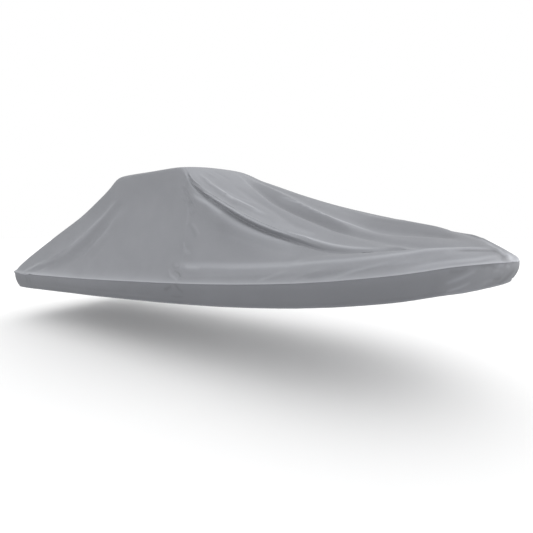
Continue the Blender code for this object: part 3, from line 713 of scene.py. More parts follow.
to_starboard = across - across[:, [line_at(-3)]]
to_port = across[:, [line_at(3)]] - across
to_stern = forward - forward[[0]]
up = np.minimum(np.minimum(to_starboard, to_port), to_stern)
bow_share = np.clip((u_of - LIP_BOW[0]) / (LIP_BOW[1] - LIP_BOW[0]), 0, 1)
relief += LIP * (1 - LIP_BOW_LOSS * bow_share)[:, None] * np.exp(-up / LIP_ABOVE)
painted_light_and_wear += sum(highlight_and_wear * np.exp(-(up / spread) ** 2) for highlight_and_wear, spread in LIP_LIGHT_AND_WEAR)
for hand, above in ((-1, to_starboard), (1, to_port)):
    on_seam = forward[:, [line_at(3 * hand)]]
    wave_seed, patch_seed = GATHER_SEEDS[hand]
    waves = ripple(on_seam + GATHER_SLANT * above, GATHER_WAVE, wave_seed)
    patchy = np.clip(ripple(on_seam, GATHER_PATCH, patch_seed), 0, 1)
    relief += GATHER * waves * patchy * (above / GATHER_REACH) * np.exp(1 - above / GATHER_REACH)
print("the lip over the gunwale stands", round(relief[:, [0, -1]].max(), 4), "m proud")

# %% Upright seams
# PUCKER_SEEDS: for each hand, two for the crossing waves and one for their patches.
UPRIGHT_HEIGHT = 0.0003
UPRIGHT_WIDTH = 0.009
PUCKER = 0.0075
PUCKER_WAVE = 0.10
PUCKER_SLANTS = (0.6, -0.9)
PUCKER_REACH = 0.045
PUCKER_PATCH = 0.5
PUCKER_LEAST = 0.35
PUCKER_FROM = 0.2
PUCKER_SEEDS = {-1: (21, 26, 30), 1: (22, 27, 31)}

from_seam = forward - forward[[PANEL_RIB]]
reach = np.abs(from_seam) / PUCKER_REACH
for hand, (*wave_seeds, patch_seed) in PUCKER_SEEDS.items():
    on_side = np.where(hand * v_of > 1, 1.0, 0.0)[None, :]
    relief += on_side * UPRIGHT_HEIGHT * np.exp(-(from_seam / UPRIGHT_WIDTH) ** 2)
    down = np.abs(across - across[:, [line_at(hand)]])
    waves = 0.0
    for slant, wave_seed in zip(PUCKER_SLANTS, wave_seeds):
        waves = waves + ripple(down + slant * from_seam, PUCKER_WAVE, wave_seed)
    patchy = np.clip(PUCKER_LEAST + ripple(down, PUCKER_PATCH, patch_seed), 0, 1)
    low = np.clip(down / PUCKER_FROM, 0, 1)
    relief += on_side * PUCKER * waves * patchy * reach * np.exp(1 - reach) * low
print("relief from", round(relief.min(), 4), "to", round(relief.max(), 4), "m")

# %% [markdown]
# ## Painted light, shade and wear
# The cloth's colour is painted paler along the crests and the bow's nose, as painted highlights with some
# rubbed wear. It is painted darker in the troughs beside them and over the foredeck, as painted shade. A
# curvature mask in the material would pale every crest alike. A list drawn in the same way as the folds puts
# it only where it belongs, and a vertex attribute takes it to the cloth.

# %% Painted light, shade and wear
# A Fold's height is here how much paler the cloth is painted, below zero for darker. That covers painted
# highlights on crests and along the bow's nose, painted shade in troughs and over the foredeck, and some
# wear. Its width is a length on the cloth as before. The sum of all is kept between the two limits below.
LIGHT_AND_WEAR_LEAST = -1.1
LIGHT_AND_WEAR_MOST = 2.0
LIGHT_AND_WEAR_LINES = (
    Fold(-1, ((0.72, 0.78), (0.86, 0.80), (1.00, 0.82), (1.12, 0.82), (1.29, 0.835), (1.42, 0.82),
              (1.56, 0.82), (1.71, 0.84), (1.88, 0.86)), 1.50, 0.015),
    Fold(-1, ((1.12, 0.78), (1.32, 0.78), (1.48, 0.76), (1.63, 0.72)), 0.40, 0.018),
    Fold(-1, ((1.70, 0.38), (1.90, 0.41), (2.04, 0.42), (2.33, 0.475), (2.45, 0.48), (2.58, 0.48),
              (2.79, 0.49), (2.98, 0.55)), 1.80, 0.014),
    Fold(-1, ((2.05, 1.00), (2.30, 0.98), (2.45, 0.96), (2.61, 0.95), (2.75, 0.955), (2.88, 0.965),
              (3.04, 1.00)), 1.90, 0.020),
    Fold(-1, ((0.84, 1.10), (0.95, 1.105), (1.06, 1.10), (1.20, 1.115), (1.35, 1.145)), 1.15, 0.024),
    Fold(-1, ((1.10, 1.13), (1.29, 1.14), (1.58, 1.19), (1.85, 1.22), (2.14, 1.27),
              (2.34, 1.30)), 0.50, 0.036, 0.3),
    Fold(-1, ((1.35, 1.28), (1.70, 1.38), (1.95, 1.44), (2.20, 1.48), (2.42, 1.42)), 0.50, 0.090),
    Fold(-1, ((0.90, 1.02), (1.15, 1.035), (1.35, 1.05), (1.55, 1.06), (1.82, 1.07),
              (2.10, 1.08)), 0.30, 0.030),
    Fold(-1, ((0.95, 0.97), (1.24, 1.01), (1.53, 1.01), (1.80, 1.01), (2.20, 1.01)), 0.55, 0.012),
    Fold(-1, ((1.50, 0.93), (1.90, 0.93), (2.20, 0.90), (2.45, 0.85)), 0.40, 0.060),
    Fold(-1, ((0.60, 1.93), (0.93, 1.94), (1.34, 1.96), (1.78, 2.02), (2.24, 2.06),
              (2.60, 2.10)), 0.85, 0.042, -0.2, 3.0),
    Fold(-1, ((2.20, 2.05), (2.43, 2.11), (2.68, 2.16), (2.82, 2.17), (2.95, 2.13), (3.07, 2.03),
              (3.20, 1.97), (3.36, 1.97), (3.50, 1.88), (3.64, 1.90), (3.80, 1.95)), 1.10, 0.018),
    Fold(-1, ((0.90, 2.30), (1.99, 2.30), (2.43, 2.30), (2.85, 2.33), (3.25, 2.33)), 0.45, 0.070),
    Fold(-1, ((2.60, 2.90), (2.71, 2.83), (2.80, 2.62), (2.93, 2.46), (3.02, 2.38)), 0.50, 0.014),
    Fold(-1, ((1.94, 2.82), (2.00, 2.75), (2.16, 2.50), (2.32, 2.34)), 0.30, 0.016),
    Fold(-1, ((3.07, 2.76), (3.23, 2.72), (3.47, 2.71), (3.55, 2.67), (3.63, 2.58),
              (3.75, 2.50)), 0.70, 0.014),
    Fold(-1, ((3.30, 2.84), (3.51, 2.83), (3.59, 2.79), (3.70, 2.74)), -0.50, 0.012),
    Fold(-1, ((3.36, 2.20), (3.49, 2.17), (3.57, 2.12), (3.67, 2.08), (3.78, 1.98)), -0.60, 0.014),
    Fold(-1, ((-3.60, 2.20), (-3.39, 1.86), (-3.20, 1.78), (-3.00, 1.71), (-2.63, 1.68),
              (-2.30, 1.63)), 0.90, 0.026),
    Fold(-1, ((-2.45, 1.66), (-2.05, 1.56), (-1.77, 1.45), (-1.46, 1.39), (-1.19, 1.32), (-0.94, 1.27),
              (-0.60, 1.24)), 0.80, 0.036),
    Fold(-1, ((-1.30, 1.62), (-1.21, 1.58), (-0.94, 1.50), (-0.71, 1.43), (-0.40, 1.32)), 0.35, 0.040),
    Fold(-1, ((-3.70, 2.50), (-3.16, 2.56), (-2.81, 2.58), (-2.46, 2.50), (-2.14, 2.40),
              (-1.40, 2.40)), 0.70, 0.090),
    Fold(-1, ((0.54, 1.96), (0.62, 2.14), (0.70, 2.40), (0.78, 2.80)), 0.60, 0.016),
    Fold(-1, ((0.66, 2.02), (0.74, 2.10), (0.80, 2.30), (0.82, 2.44)), -0.70, 0.014),
    Fold(-1, ((0.84, 1.92), (0.92, 1.96), (1.04, 1.98), (1.14, 2.02)), 0.50, 0.028),
    Fold(-1, ((0.74, 1.66), (0.80, 1.74), (0.90, 1.80)), 0.45, 0.022),
    Fold(-1, ((0.78, 1.44), (0.88, 1.50), (0.94, 1.58)), -0.30, 0.020),
    Fold(-1, ((0.84, 1.42), (0.93, 1.46), (1.00, 1.54)), 0.35, 0.018),
    Fold(-1, ((0.74, 1.20), (0.78, 1.36), (0.76, 1.50)), 0.25, 0.022),
    Fold(-1, ((0.60, 1.90), (0.68, 1.97), (0.76, 1.94)), -0.35, 0.018),
    Fold(-1, ((4.02, 0.44), (3.95, 0.60), (3.88, 0.78), (3.81, 0.94), (3.80, 1.60), (3.83, 2.21),
              (3.91, 2.54), (4.05, 2.70)), 1.30, 0.034),
    Fold(-1, ((3.84, 2.10), (3.92, 2.40), (4.04, 2.60), (4.20, 2.80)), 1.30, 0.080),
    Fold(-1, ((3.68, 1.90), (3.73, 2.10), (3.77, 2.44), (3.80, 2.80)), -0.60, 0.014),
    Fold(-1, ((3.74, 2.66), (3.80, 2.84), (3.88, 2.94)), -0.80, 0.022),
    Fold(-1, ((3.92, 2.70), (3.98, 2.84), (4.00, 2.98)), -0.80, 0.016),
    Fold(-1, ((2.80, 0.24), (3.05, 0.32), (3.40, 0.50), (3.70, 0.72), (3.95, 1.00),
              (4.20, 1.60)), -0.75, 0.30),
    Fold(-1, ((2.70, 0.44), (3.01, 0.52), (3.20, 0.55), (3.40, 0.58)), 0.35, 0.110),
    Fold(-1, ((-1.60, 2.40), (-0.80, 2.46), (0.10, 2.46), (0.60, 2.40)), 0.30, 0.080),
    Fold(-1, ((3.00, 2.40), (3.20, 2.42), (3.46, 2.38), (3.62, 2.32)), 0.30, 0.060),
    Fold(-1, ((1.50, 0.42), (1.85, 0.54), (2.15, 0.58), (2.55, 0.62), (2.80, 0.68)), -0.25, 0.070),
    Fold(-1, ((-1.30, 1.20), (-0.60, 1.15), (0.10, 1.12), (0.64, 1.10)), -0.18, 0.220),
    Fold(-1, ((1.70, 0.16), (2.10, 0.26), (2.50, 0.32), (2.90, 0.36)), -0.28, 0.100),
    Fold(-1, ((0.70, 0.02), (1.60, 0.00), (2.40, 0.02), (3.10, 0.05)), -0.45, 0.16),
    Fold(1, ((2.50, 0.10), (3.05, 0.30), (3.40, 0.50), (3.70, 0.72), (3.95, 1.00),
             (4.20, 1.60)), -0.60, 0.34),
    Fold(1, ((4.02, 0.44), (3.90, 0.80), (3.84, 1.60), (3.90, 2.40), (4.06, 2.72)), 0.60, 0.050),
    Fold(1, ((1.80, 0.40), (2.26, 0.50), (2.64, 0.62)), 0.60, 0.018),
    Fold(1, ((2.15, 1.00), (2.61, 0.94), (3.00, 0.95)), 0.60, 0.024),
    Fold(1, ((0.70, 1.98), (1.78, 2.06), (2.68, 2.08), (3.30, 2.06), (3.70, 2.08)), 0.60, 0.040),
    Fold(1, ((-2.25, 1.52), (-1.31, 1.33), (-0.60, 1.24)), 0.30, 0.045),
    Fold(1, ((-4.00, 2.70), (-3.00, 2.60), (-2.40, 2.70)), 0.50, 0.070),
)
facing = normals_of(cover)
# This list paints highlights on crests and shade in troughs, added to those along the seams and lip.
for line in LIGHT_AND_WEAR_LINES:
    painted_light_and_wear += fold_height(cover, facing, fold_route(cover, u_of, v_of, line), line)
tone_from_light_and_wear = np.clip(painted_light_and_wear, LIGHT_AND_WEAR_LEAST, LIGHT_AND_WEAR_MOST)
print(len(LIGHT_AND_WEAR_LINES), "worn lines, which tone the cloth from", round(tone_from_light_and_wear.min(), 2), "to", round(tone_from_light_and_wear.max(), 2))

# %% [markdown]
# ## The bow's centreline
# The relief goes on now. The last rib runs along the centreline, where its two hands are the same
# edge, so their places and normals are brought together and no crack opens there.

# %% Relief, and the two hands of the last rib
cover = cover + normals_of(cover) * relief[..., None]


def on_centreline(starboard, port):
    """Bring what lies on the two hands of the bow together on the centreline."""
    return (starboard + port) / 2 * np.array([1, 0, 1])


cover[-1] = on_centreline(cover[-1], cover[-1, ::-1])
normals = normals_of(cover)
normals[-1] = unit(on_centreline(normals[-1], normals[-1, ::-1]))
print("the cover spans", cover.min((0, 1)).round(3), "to", cover.max((0, 1)).round(3))

# %% [markdown]
# ## The skirt
# A band of cloth hangs under the gunwale seam all round, and an elastic in its hem draws it in under
# the hull. It could be extruded from the seam, but along the seam's normals it would twist at the
# stern's corners. So its grid follows the seam's loop, from the bow along starboard, across the stern
# and back along port, and hangs from it straight down, with level directions for its belly and tuck.

# %% Round the gunwale
TURN_STEP = 0.02
TURN_ROUNDING = 10


def gunwale_loop(grid):
    """The edge of the cover, from the bow along starboard, the stern and port to the bow."""
    return np.concatenate([grid[::-1, 0], grid[0, 1:-1], grid[:, -1]])


def outward_round(loop):
    """Level directions away from the cover, which turn gradually round the loop's corners."""
    run = travel(loop[:, None], 0)[:, 0]
    even = np.linspace(0, run[-1], int(run[-1] / TURN_STEP))
    line = np.stack([np.interp(even, run, loop[:, axis]) for axis in range(3)], axis=-1)
    heading = np.gradient(line, axis=0)
    outward = unit(np.stack([-heading[:, 1], heading[:, 0], np.zeros(len(even))], axis=-1))
    outward[0] = outward[-1] = (1.0, 0.0, 0.0)
    for _ in range(TURN_ROUNDING):
        outward[1:-1] = unit(outward[:-2] + 2 * outward[1:-1] + outward[2:])
    return unit(np.stack([np.interp(run, even, outward[:, axis]) for axis in range(3)], axis=-1))


plain_loop = gunwale_loop(whole)
print("the gunwale seam is", round(float(travel(plain_loop[:, None], 0)[-1, 0]), 2), "m long")

# %% Skirt
SKIRT_LINES = (0.0, 0.3, 0.66, 1.0)
SKIRT_STEPS = (10, 10, 10)
SKIRT_TUCK = 0.055
SKIRT_BELLY = 0.010
LIP_BELOW = 0.016

down = refine(SKIRT_LINES)[None, :, None]
out = SKIRT_BELLY * arch(down) - SKIRT_TUCK * down ** 2
depth = column("skirt", plain_loop[:, 0])[:, None, None]
below = np.array([0, 0, 1]) * depth * down
skirt = plain_loop[:, None] + outward_round(plain_loop)[:, None] * out - below

last_rib = len(ribs) - 1
port_start = last_rib + 2 * middle
loop_places = np.concatenate(
    [last_rib - rib_places[::-1], last_rib + line_places[1:-1], port_start + rib_places]
)
skirt = resample(resample(skirt, loop_places, 0), closer(SKIRT_STEPS), 1)
loop = gunwale_loop(cover)
loop_along = travel(loop[:, None], 0)
drop = travel(skirt, 1)
skirt = skirt + (loop - skirt[:, 0])[:, None] * np.exp(-drop / LIP_BELOW)[..., None]
print("skirt of", skirt.shape[0], "by", skirt.shape[1], "points")

# %% Hem and gathers
HEM = 0.028
HEM_EDGE = 0.3
HEM_GROOVE = 0.006
HEM_GROOVE_WIDTH = 0.010
HEM_ROLL = 0.008
HEM_GATHER = 0.0006
HEM_GATHER_WAVE = 0.12
HEM_GATHER_REACH = 0.05
HEM_GATHER_SEED = 32
SEAM_GATHER = 0.00048
SEAM_GATHER_WAVE = 0.09
SEAM_GATHER_REACH = 0.06
SEAM_GATHER_SEED = 31

to_hem = drop[:, -1:] - drop
skirt_relief = -HEM_GROOVE * np.exp(-((to_hem - HEM) / HEM_GROOVE_WIDTH) ** 2)
rolled = np.clip(1 - to_hem / HEM, 0, 1) * np.clip(to_hem / (HEM_EDGE * HEM), 0, 1)
skirt_relief += HEM_ROLL * rolled
reach = drop / SEAM_GATHER_REACH
waves = ripple(loop_along, SEAM_GATHER_WAVE, SEAM_GATHER_SEED)
skirt_relief += SEAM_GATHER * waves * reach * np.exp(1 - reach)
waves = ripple(loop_along, HEM_GATHER_WAVE, HEM_GATHER_SEED)
skirt_relief += HEM_GATHER * waves * np.exp(-to_hem / HEM_GATHER_REACH)
skirt_relief[:, 0] = 0.0
skirt = skirt + normals_of(skirt) * skirt_relief[..., None]
print("the skirt's relief runs from", round(skirt_relief.min(), 4), "to", round(skirt_relief.max(), 4))

# %% Normals that the skirt shares with the cover
skirt_normals = normals_of(skirt)
skirt_normals[:, 0] = unit(gunwale_loop(normals) + skirt_normals[:, 0])
skirt_normals[0] = skirt_normals[-1] = unit(on_centreline(skirt_normals[0], skirt_normals[-1]))
shared = skirt_normals[:, 0]
normals[::-1, 0] = shared[:rows]
normals[0, 1:-1] = shared[rows : rows + columns - 2]
normals[:, -1] = shared[rows + columns - 2 :]
print(len(shared), "normals shared along the gunwale seam")

# %% [markdown]
# ## Shader maths in Python
# Noise, weave and stitches are sums and products of values. A small class around a socket lets them
# be written as such, and each operation adds its Math node. Any other node comes from one method.

# %% Wire
class Wire:
    """An output socket that can be used in arithmetic."""

    def __init__(self, finish, socket):
        self.finish = finish
        self.socket = socket

    def math(self, operation, first, second):
        return self.finish.node("ShaderNodeMath", {"operation": operation}, {0: first, 1: second})

    def __add__(self, other):
        return self.math("ADD", self, other)

    def __radd__(self, other):
        return self.math("ADD", other, self)

    def __sub__(self, other):
        return self.math("SUBTRACT", self, other)

    def __rsub__(self, other):
        return self.math("SUBTRACT", other, self)

    def __mul__(self, other):
        return self.math("MULTIPLY", self, other)

    def __rmul__(self, other):
        return self.math("MULTIPLY", other, self)

    def __gt__(self, other):
        return self.math("GREATER_THAN", self, other)

    def __lt__(self, other):
        return self.math("LESS_THAN", self, other)


# %% Finish
# The Mix node names several sockets alike, so those for colours are called by their place.
NOISE_MIDDLE = 0.5
MIX_FACTOR = 0
MIX_FIRST = 6
MIX_SECOND = 7
MIX_RESULT = 2


class Finish:
    """A material and its nodes."""

    def __init__(self, name):
        self.material = bpy.data.materials.new(name)
        self.material.use_nodes = True
        self.nodes = self.material.node_tree.nodes
        self.links = self.material.node_tree.links
        self.shader = self.nodes["Principled BSDF"]

    def join(self, socket, value):
        """Link a wire to a socket, or set the socket to a plain value."""
        if isinstance(value, Wire):
            self.links.new(value.socket, socket)
        else:
            socket.default_value = value

    def node(self, kind, settings, inputs, output=0):
        """Add a node: its settings first, then the values or links of its sockets."""
        made = self.nodes.new(kind)
        for setting, value in settings.items():
            setattr(made, setting, value)
        for name, value in inputs.items():
            self.join(made.inputs[name], value)
        return Wire(self, made.outputs[output])

    def attribute(self, name):
        """A value that is kept on the mesh."""
        return self.node("ShaderNodeAttribute", {"attribute_name": name}, {}, output="Fac")

    def noise(self, place, scale, detail):
        """Cloudy noise that varies round 0."""
        inputs = {"Vector": place, "Scale": scale, "Detail": detail}
        return self.node("ShaderNodeTexNoise", {}, inputs) - NOISE_MIDDLE

    def shade(self, colour, level):
        """A colour times a level, which varies round 1."""
        grey = self.node("ShaderNodeCombineColor", {}, {"Red": level, "Green": level, "Blue": level})
        settings = {"data_type": "RGBA", "blend_type": "MULTIPLY"}
        inputs = {MIX_FACTOR: 1.0, MIX_FIRST: colour, MIX_SECOND: grey}
        return self.node("ShaderNodeMix", settings, inputs, output=MIX_RESULT)


# %% [markdown]
# ## Coated cloth
# The cover is plain woven polyester with a matt coating. From a step away it is an even grey with a faint
# unevenness. Close up the weave shows, and two rows of stitches run beside each seam. A tiled image could
# give the weave, but sines of the distance along the threads stay sharp at any size and follow each piece's
# own cut. The skirt is the same cloth, painted a darker grey as painted shade for cloth that turns in under
# the hull.

# %% Weave
WEAVE = 0.0011


def woven(finish):
    """Plain weave: a sine along the warp times one along the weft."""
    thread = finish.node("ShaderNodeUVMap", {"uv_map": "UVMap"}, {})
    turn = 2 * np.pi / WEAVE
    waves = []
    for axis in ("X", "Y"):
        run = finish.node("ShaderNodeSeparateXYZ", {}, {"Vector": thread}, output=axis)
        waves.append(finish.node("ShaderNodeMath", {"operation": "SINE"}, {0: run * turn}))
    return waves[0] * waves[1]


# %% Stitches
STITCH = 0.007
STITCH_SHARE = 0.72
STITCH_ROWS = (0.004, 0.013)
STITCH_WIDTH = 0.0010


def stitched(finish):
    """1 on the stitches of the two rows beside a sewn edge, and 0 elsewhere."""
    edge = finish.attribute("edge")
    along = finish.attribute("along")
    phase = finish.node("ShaderNodeMath", {"operation": "FRACT"}, {0: along * (1 / STITCH)})
    rows_here = 0.0
    for row in STITCH_ROWS:
        off = finish.node("ShaderNodeMath", {"operation": "ABSOLUTE"}, {0: edge - row})
        rows_here = (off < STITCH_WIDTH) + rows_here
    return rows_here * (phase < STITCH_SHARE)


# %% Cloth finish
CLOTH_GREY = (0.239, 0.245, 0.263, 1.0)
# The skirt's grey is the cover's grey painted darker: painted shade for cloth that faces down and in under
# the hull.
SKIRT_SHADED_GREY = (0.159, 0.164, 0.178, 1.0)
BROAD_NOISE = (1.3, 2.0)
PATCHY_NOISE = (5.0, 3.0)
FINE_NOISE = (45.0, 4.0)
BROAD_TONE = 0.12
PATCHY_TONE = 0.08
FINE_TONE = 0.06
WEAVE_TONE = 0.02
STITCH_TONE = 0.06
LIGHT_AND_WEAR_STRENGTH = 0.29
ROUGHNESS = 0.66
FINE_ROUGHNESS = 0.08
STITCH_GLOSS = 0.1
SPECULAR = 0.3
WEAVE_HEIGHT = 0.00012
STITCH_HEIGHT = 0.0004
FINE_HEIGHT = 0.0004


def cloth_finish(name, colour):
    """Coated cloth of one colour, with its weave, stitches, unevenness, and painted highlights and shade
    with some wear.
    """
    finish = Finish(name)
    place = finish.node("ShaderNodeTexCoord", {}, {}, output="Object")
    weave = woven(finish)
    stitch = stitched(finish)
    fine = finish.noise(place, *FINE_NOISE)

    level = 1.0 + finish.noise(place, *BROAD_NOISE) * BROAD_TONE
    level = level + finish.noise(place, *PATCHY_NOISE) * PATCHY_TONE + fine * FINE_TONE
    level = level + weave * WEAVE_TONE + stitch * STITCH_TONE
    # Painted highlights and painted shade, with some wear, lighten and darken the colour here.
    level = level + finish.attribute("tone_from_light_and_wear") * LIGHT_AND_WEAR_STRENGTH
    finish.join(finish.shader.inputs["Base Color"], finish.shade(colour, level))
    rough = ROUGHNESS + fine * FINE_ROUGHNESS - stitch * STITCH_GLOSS
    finish.join(finish.shader.inputs["Roughness"], rough)

    height = weave * WEAVE_HEIGHT + stitch * STITCH_HEIGHT + fine * FINE_HEIGHT
    bump = finish.node("ShaderNodeBump", {}, {"Height": height, "Distance": 1.0, "Strength": 1.0})
    finish.join(finish.shader.inputs["Normal"], bump)
    finish.shader.inputs["Specular IOR Level"].default_value = SPECULAR
    print(name, "has", len(finish.nodes), "nodes")
    return finish.material


cover_cloth = cloth_finish("cover_cloth", CLOTH_GREY)
skirt_cloth = cloth_finish("skirt_cloth", SKIRT_SHADED_GREY)

# %% [markdown]
# ## Cutting the pieces
# Each piece is a closed sheet: an outer and an inner face, and a rim that joins them. It stops half a
# gap short of its seams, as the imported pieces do. A Solidify modifier would add the inner face too,
# but it leaves the rim's corners and the edge's own values to chance. The crown panel's last rib lies
# on the bow's centreline, where its two hands are one.

# %% Gaps between the pieces
GAP = 0.0003


def pull_in(grid, last_row=True):
    """Draw a piece's edges in by half the gap that parts it from its neighbours."""
    grid = grid.copy()
    half = GAP / 2
    grid[0] += unit(grid[1] - grid[0]) * half
    if last_row:
        grid[-1] += unit(grid[-2] - grid[-1]) * half
    grid[:, 0] += unit(grid[:, 1] - grid[:, 0]) * half
    grid[:, -1] += unit(grid[:, -2] - grid[:, -1]) * half
    return grid


# %% Faces of a closed sheet
def sheet_faces(count, width, welded):
    """Faces of the outer side, the inner side and the rim. A welded last row is one edge folded."""
    index = np.arange(count * width).reshape(count, width)
    if welded:
        index[-1] = np.minimum(index[-1], index[-1, ::-1])
    inside = index + count * width
    quads = [
        np.stack([index[:-1, :-1], index[1:, :-1], index[1:, 1:], index[:-1, 1:]], -1).reshape(-1, 4),
        np.stack([inside[:-1, :-1], inside[:-1, 1:], inside[1:, 1:], inside[1:, :-1]], -1).reshape(-1, 4),
        np.stack([index[:-1, 0], inside[:-1, 0], inside[1:, 0], index[1:, 0]], -1),
        np.stack([index[:-1, -1], index[1:, -1], inside[1:, -1], inside[:-1, -1]], -1),
        np.stack([index[0, :-1], index[0, 1:], inside[0, 1:], inside[0, :-1]], -1),
    ]
    if not welded:
        quads.append(np.stack([index[-1, :-1], inside[-1, :-1], inside[-1, 1:], index[-1, 1:]], -1))
    faces = [list(dict.fromkeys(quad)) for quad in np.concatenate(quads).tolist()]
    return [face for face in faces if len(face) > 2]


print("a plain sheet of 4 by 3 points has", len(sheet_faces(4, 3, False)), "faces")

# %% Distances for the stitches
FAR_FROM_EDGES = 10.0


def beside_edges(along, sideways, sewn):
    """Distance to the nearest sewn edge, and along it. sewn names start, end, first or last."""
    edges = {
        "start": (along, sideways),
        "end": (along[-1:] - along, sideways),
        "first": (sideways, along),
        "last": (sideways[:, -1:] - sideways, along),
    }
    edge = np.full(along.shape, FAR_FROM_EDGES)
    beside = np.zeros(along.shape)
    for side in sewn:
        distance, run = edges[side]
        beside = np.where(distance < edge, run, beside)
        edge = np.minimum(edge, distance)
    return edge, beside


# %% One closed sheet
SHARP_ANGLE = 1.0


def closed_sheet(name, outer, facing, material, sewn, tone_from_light_and_wear, welded=False):
    """Make a closed piece of cloth, with its threads, stitches, and painted light and wear kept on the mesh.
    """
    faces = sheet_faces(*outer.shape[:2], welded)
    places = np.concatenate([outer.reshape(-1, 3), (outer - facing * CLOTH).reshape(-1, 3)])
    along = travel(outer, 0)
    sideways = travel(outer, 1)
    edge, beside = beside_edges(along, sideways, sewn)

    kept = np.unique(np.concatenate([np.asarray(face) for face in faces]))
    renumber = np.zeros(len(places), int)
    renumber[kept] = np.arange(len(kept))
    mesh = bpy.data.meshes.new(name)
    mesh.from_pydata(places[kept].tolist(), [], [[int(renumber[k]) for k in face] for face in faces])
    for label, values in (("edge", edge), ("along", beside), ("tone_from_light_and_wear", tone_from_light_and_wear)):
        doubled = np.tile(values.ravel(), 2)[kept].astype(np.float32)
        mesh.attributes.new(label, "FLOAT", "POINT").data.foreach_set("value", doubled)
    corner = np.zeros(len(mesh.loops), np.int32)
    mesh.loops.foreach_get("vertex_index", corner)
    thread = np.tile(np.stack([along, sideways], -1).reshape(-1, 2), (2, 1))[kept]
    mesh.uv_layers.new(name="UVMap").uv.foreach_set("vector", thread[corner].astype(np.float32).ravel())
    mesh.shade_smooth()
    mesh.set_sharp_from_angle(angle=SHARP_ANGLE)
    mesh.materials.append(material)
    piece = bpy.data.objects.new(name, mesh)
    bpy.context.scene.collection.objects.link(piece)
    area = sum(face.area for face in mesh.polygons) / 2
    print(name, "of", len(mesh.polygons), "faces,", round(area, 3), "m2 of cloth")
    return piece


# %% Panels
shoulders = (line_at(-1), line_at(1))
spans = {
    "crown": slice(shoulders[0], shoulders[1] + 1),
    "starboard": slice(0, shoulders[0] + 1),
    "port": slice(shoulders[1], columns),
}
aft = slice(0, PANEL_RIB + 1)
fore = slice(PANEL_RIB, rows)
whole_length = slice(0, rows)
panels = (
    ("crown", "crown_panel", whole_length, spans["crown"], ("start", "first", "last"), True),
    ("starboard_aft", "starboard_aft_panel", aft, spans["starboard"], ("end", "first", "last"), False),
    ("starboard_fore", "starboard_fore_panel", fore, spans["starboard"], ("start", "first", "last"), False),
    ("port_aft", "port_aft_panel", aft, spans["port"], ("end", "first", "last"), False),
    ("port_fore", "port_fore_panel", fore, spans["port"], ("start", "first", "last"), False),
)
pieces = {}
for name, node, run, span, sewn, welded in panels:
    name = name + "_cloth"
    grid = pull_in(cover[run, span], last_row=not welded)
    facing = normals[run, span]
    pieces[node] = closed_sheet(name, grid, facing, cover_cloth, sewn, tone_from_light_and_wear[run, span], welded)

# %% [markdown]
# ## Skirt bands
# The skirt is cut as three bands. Two meet at the bow, and the third runs round the stern to joints a metre
# forward of it. A grid for each band would have to be fitted to its neighbours at the joints, so all three
# are cut from the one grid. The bands are painted paler just under the seam, as a painted highlight, and are
# paler on the hem. They are painted darker where the bow turns under and streaked light and dark, as painted
# shade and light. The list is drawn like the panels' painted light and shade, on the skirt's own grid.

# %% Painted light and shade on the skirt
# side is 1 for all. places: (metres along the seam from the bow by starboard, share of the way down).
SKIRT_LIGHT_AND_SHADE = (
    Fold(1, ((1.12, 0.58), (1.05, 0.50), (0.97, 0.43), (0.89, 0.33), (0.80, 0.20)), 0.90, 0.020),
    Fold(1, ((1.08, 0.86), (1.01, 0.80), (0.93, 0.72), (0.84, 0.60)), 0.90, 0.018),
    Fold(1, ((1.12, 0.92), (0.95, 0.90), (0.76, 0.86), (0.58, 0.80)), 0.50, 0.035),
    Fold(1, ((1.20, 0.60), (0.95, 0.62), (0.70, 0.50), (0.50, 0.40)), 0.30, 0.110),
    Fold(1, ((9.30, 0.26), (8.10, 0.28), (6.90, 0.26), (5.60, 0.28), (4.40, 0.26)), 0.26, 0.060),
    Fold(1, ((7.90, 0.72), (7.00, 0.68), (6.20, 0.74)), 0.18, 0.018),
    Fold(1, ((6.60, 0.56), (5.80, 0.60), (5.10, 0.54)), -0.18, 0.016),
    Fold(1, ((5.40, 0.76), (4.90, 0.72), (4.50, 0.76)), 0.22, 0.018),
    Fold(1, ((1.10, 0.14), (1.00, 0.20), (0.90, 0.12)), -0.50, 0.020),
    Fold(1, ((0.62, 0.30), (0.52, 0.34), (0.44, 0.46)), 0.45, 0.022),
    Fold(1, ((0.58, 0.60), (0.50, 0.66), (0.44, 0.60)), -0.40, 0.018),
    Fold(1, ((0.70, 0.72), (0.62, 0.66), (0.56, 0.74)), 0.45, 0.016),
    Fold(1, ((0.80, 0.02), (0.74, 0.10), (0.68, 0.06), (0.60, 0.16), (0.55, 0.30)), -0.70, 0.016),
    Fold(1, ((0.56, 0.05), (0.52, 0.08), (0.46, 0.12)), 0.80, 0.020),
    Fold(1, ((0.42, 0.10), (0.39, 0.17), (0.34, 0.26)), 0.80, 0.018),
    Fold(1, ((0.20, 0.36), (0.28, 0.52), (0.36, 0.73), (0.44, 0.94)), -0.80, 0.030),
    Fold(1, ((0.02, 0.20), (0.10, 0.50), (0.16, 0.80)), -0.50, 0.050),
    Fold(1, ((9.40, 0.06), (9.16, 0.20), (8.90, 0.30)), -0.60, 0.030),
    Fold(1, ((8.34, 0.10), (8.30, 0.40), (8.34, 0.70)), -0.50, 0.024),
    Fold(1, ((8.20, 0.20), (8.16, 0.50), (8.18, 0.84)), -0.40, 0.020),
    Fold(1, ((4.36, 0.36), (4.29, 0.27), (4.20, 0.13)), -0.60, 0.022),
    Fold(1, ((4.17, 0.02), (4.13, 0.12), (4.08, 0.30), (4.00, 0.44)), -0.60, 0.018),
    Fold(1, ((4.26, 0.60), (4.16, 0.64), (4.02, 0.62)), -0.40, 0.014),
    Fold(1, ((4.30, 0.86), (4.20, 0.92), (4.06, 0.88)), -0.40, 0.014),
)
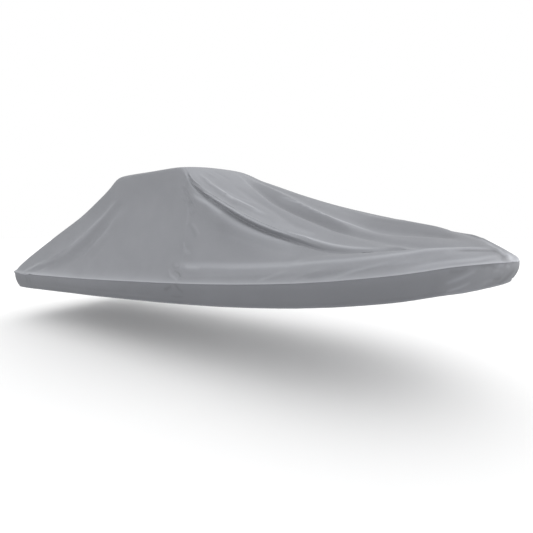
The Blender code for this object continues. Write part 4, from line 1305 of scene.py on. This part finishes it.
# Below: a painted highlight just under the seam and how deep it reaches, painted shade towards the bow and
# how far it reaches, and how much paler the hem is and where.
SKIRT_TOP_HIGHLIGHT = 0.55
SKIRT_HIGHLIGHT_DEPTH = 0.050
SKIRT_BOW_SHADE = -0.6
SKIRT_BOW_REACH = 1.5
HEM_PALER = 0.45
HEM_PALER_AT = 0.4 * HEM

share_down = np.linspace(0, 1, skirt.shape[1])
from_bow = np.minimum(loop_along, loop_along[-1] - loop_along)
skirt_tone = HEM_PALER * np.exp(-((to_hem - HEM_PALER_AT) / HEM_PALER_AT) ** 2)
skirt_tone += SKIRT_TOP_HIGHLIGHT * np.exp(-(drop / SKIRT_HIGHLIGHT_DEPTH) ** 2)
skirt_tone += SKIRT_BOW_SHADE * np.exp(-(from_bow / SKIRT_BOW_REACH) ** 2)
for line in SKIRT_LIGHT_AND_SHADE:
    route = fold_route(skirt, loop_along[:, 0], share_down, line)
    skirt_tone += fold_height(skirt, skirt_normals, route, line)
skirt_tone = np.clip(skirt_tone, LIGHT_AND_WEAR_LEAST, LIGHT_AND_WEAR_MOST)
print("the skirt's tone runs from", round(skirt_tone.min(), 2), "to", round(skirt_tone.max(), 2))

# %% Bands
SKIRT_SEWN = ("start", "end", "first")
starboard_joint = rows - 1 - CORNER_RIB
port_joint = rows + columns - 2 + CORNER_RIB
bands = (
    ("starboard_skirt", 0, starboard_joint),
    ("stern_skirt", starboard_joint, port_joint),
    ("port_skirt", port_joint, len(skirt) - 1),
)
for node, start, end in bands:
    name = node + "_cloth"
    run = slice(start, end + 1)
    grid = pull_in(skirt[run])
    pieces[node] = closed_sheet(name, grid, skirt_normals[run], skirt_cloth, SKIRT_SEWN, skirt_tone[run])

# %% [markdown]
# ## The pieces on the body
# Every piece rides on the one body and stands in for its imported node, which is hidden. FLAT lists the size
# each was cut to: a width, a length and the area of the cut, in metres and square metres, measured over the
# folds of the finished sheet with 10 mm added for the seams.

FLAT = {
    "crown_panel": (2.26, 9.44, 18.0),
    "starboard_aft_panel": (1.59, 5.32, 5.05),
    "starboard_fore_panel": (1.39, 4.17, 2.35),
    "port_aft_panel": (1.59, 5.32, 5.02),
    "port_fore_panel": (1.39, 4.17, 2.28),
    "starboard_skirt": (0.33, 7.93, 2.36),
    "port_skirt": (0.33, 7.93, 2.36),
    "stern_skirt": (0.35, 4.48, 1.46),
}
for node, (width, length, area) in FLAT.items():
    piece = pieces[node]
    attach(piece, "root")
    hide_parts(node)
    "skirt_cloth" if "skirt" in node else "cover_cloth"
print(len(FLAT), "pieces declared")
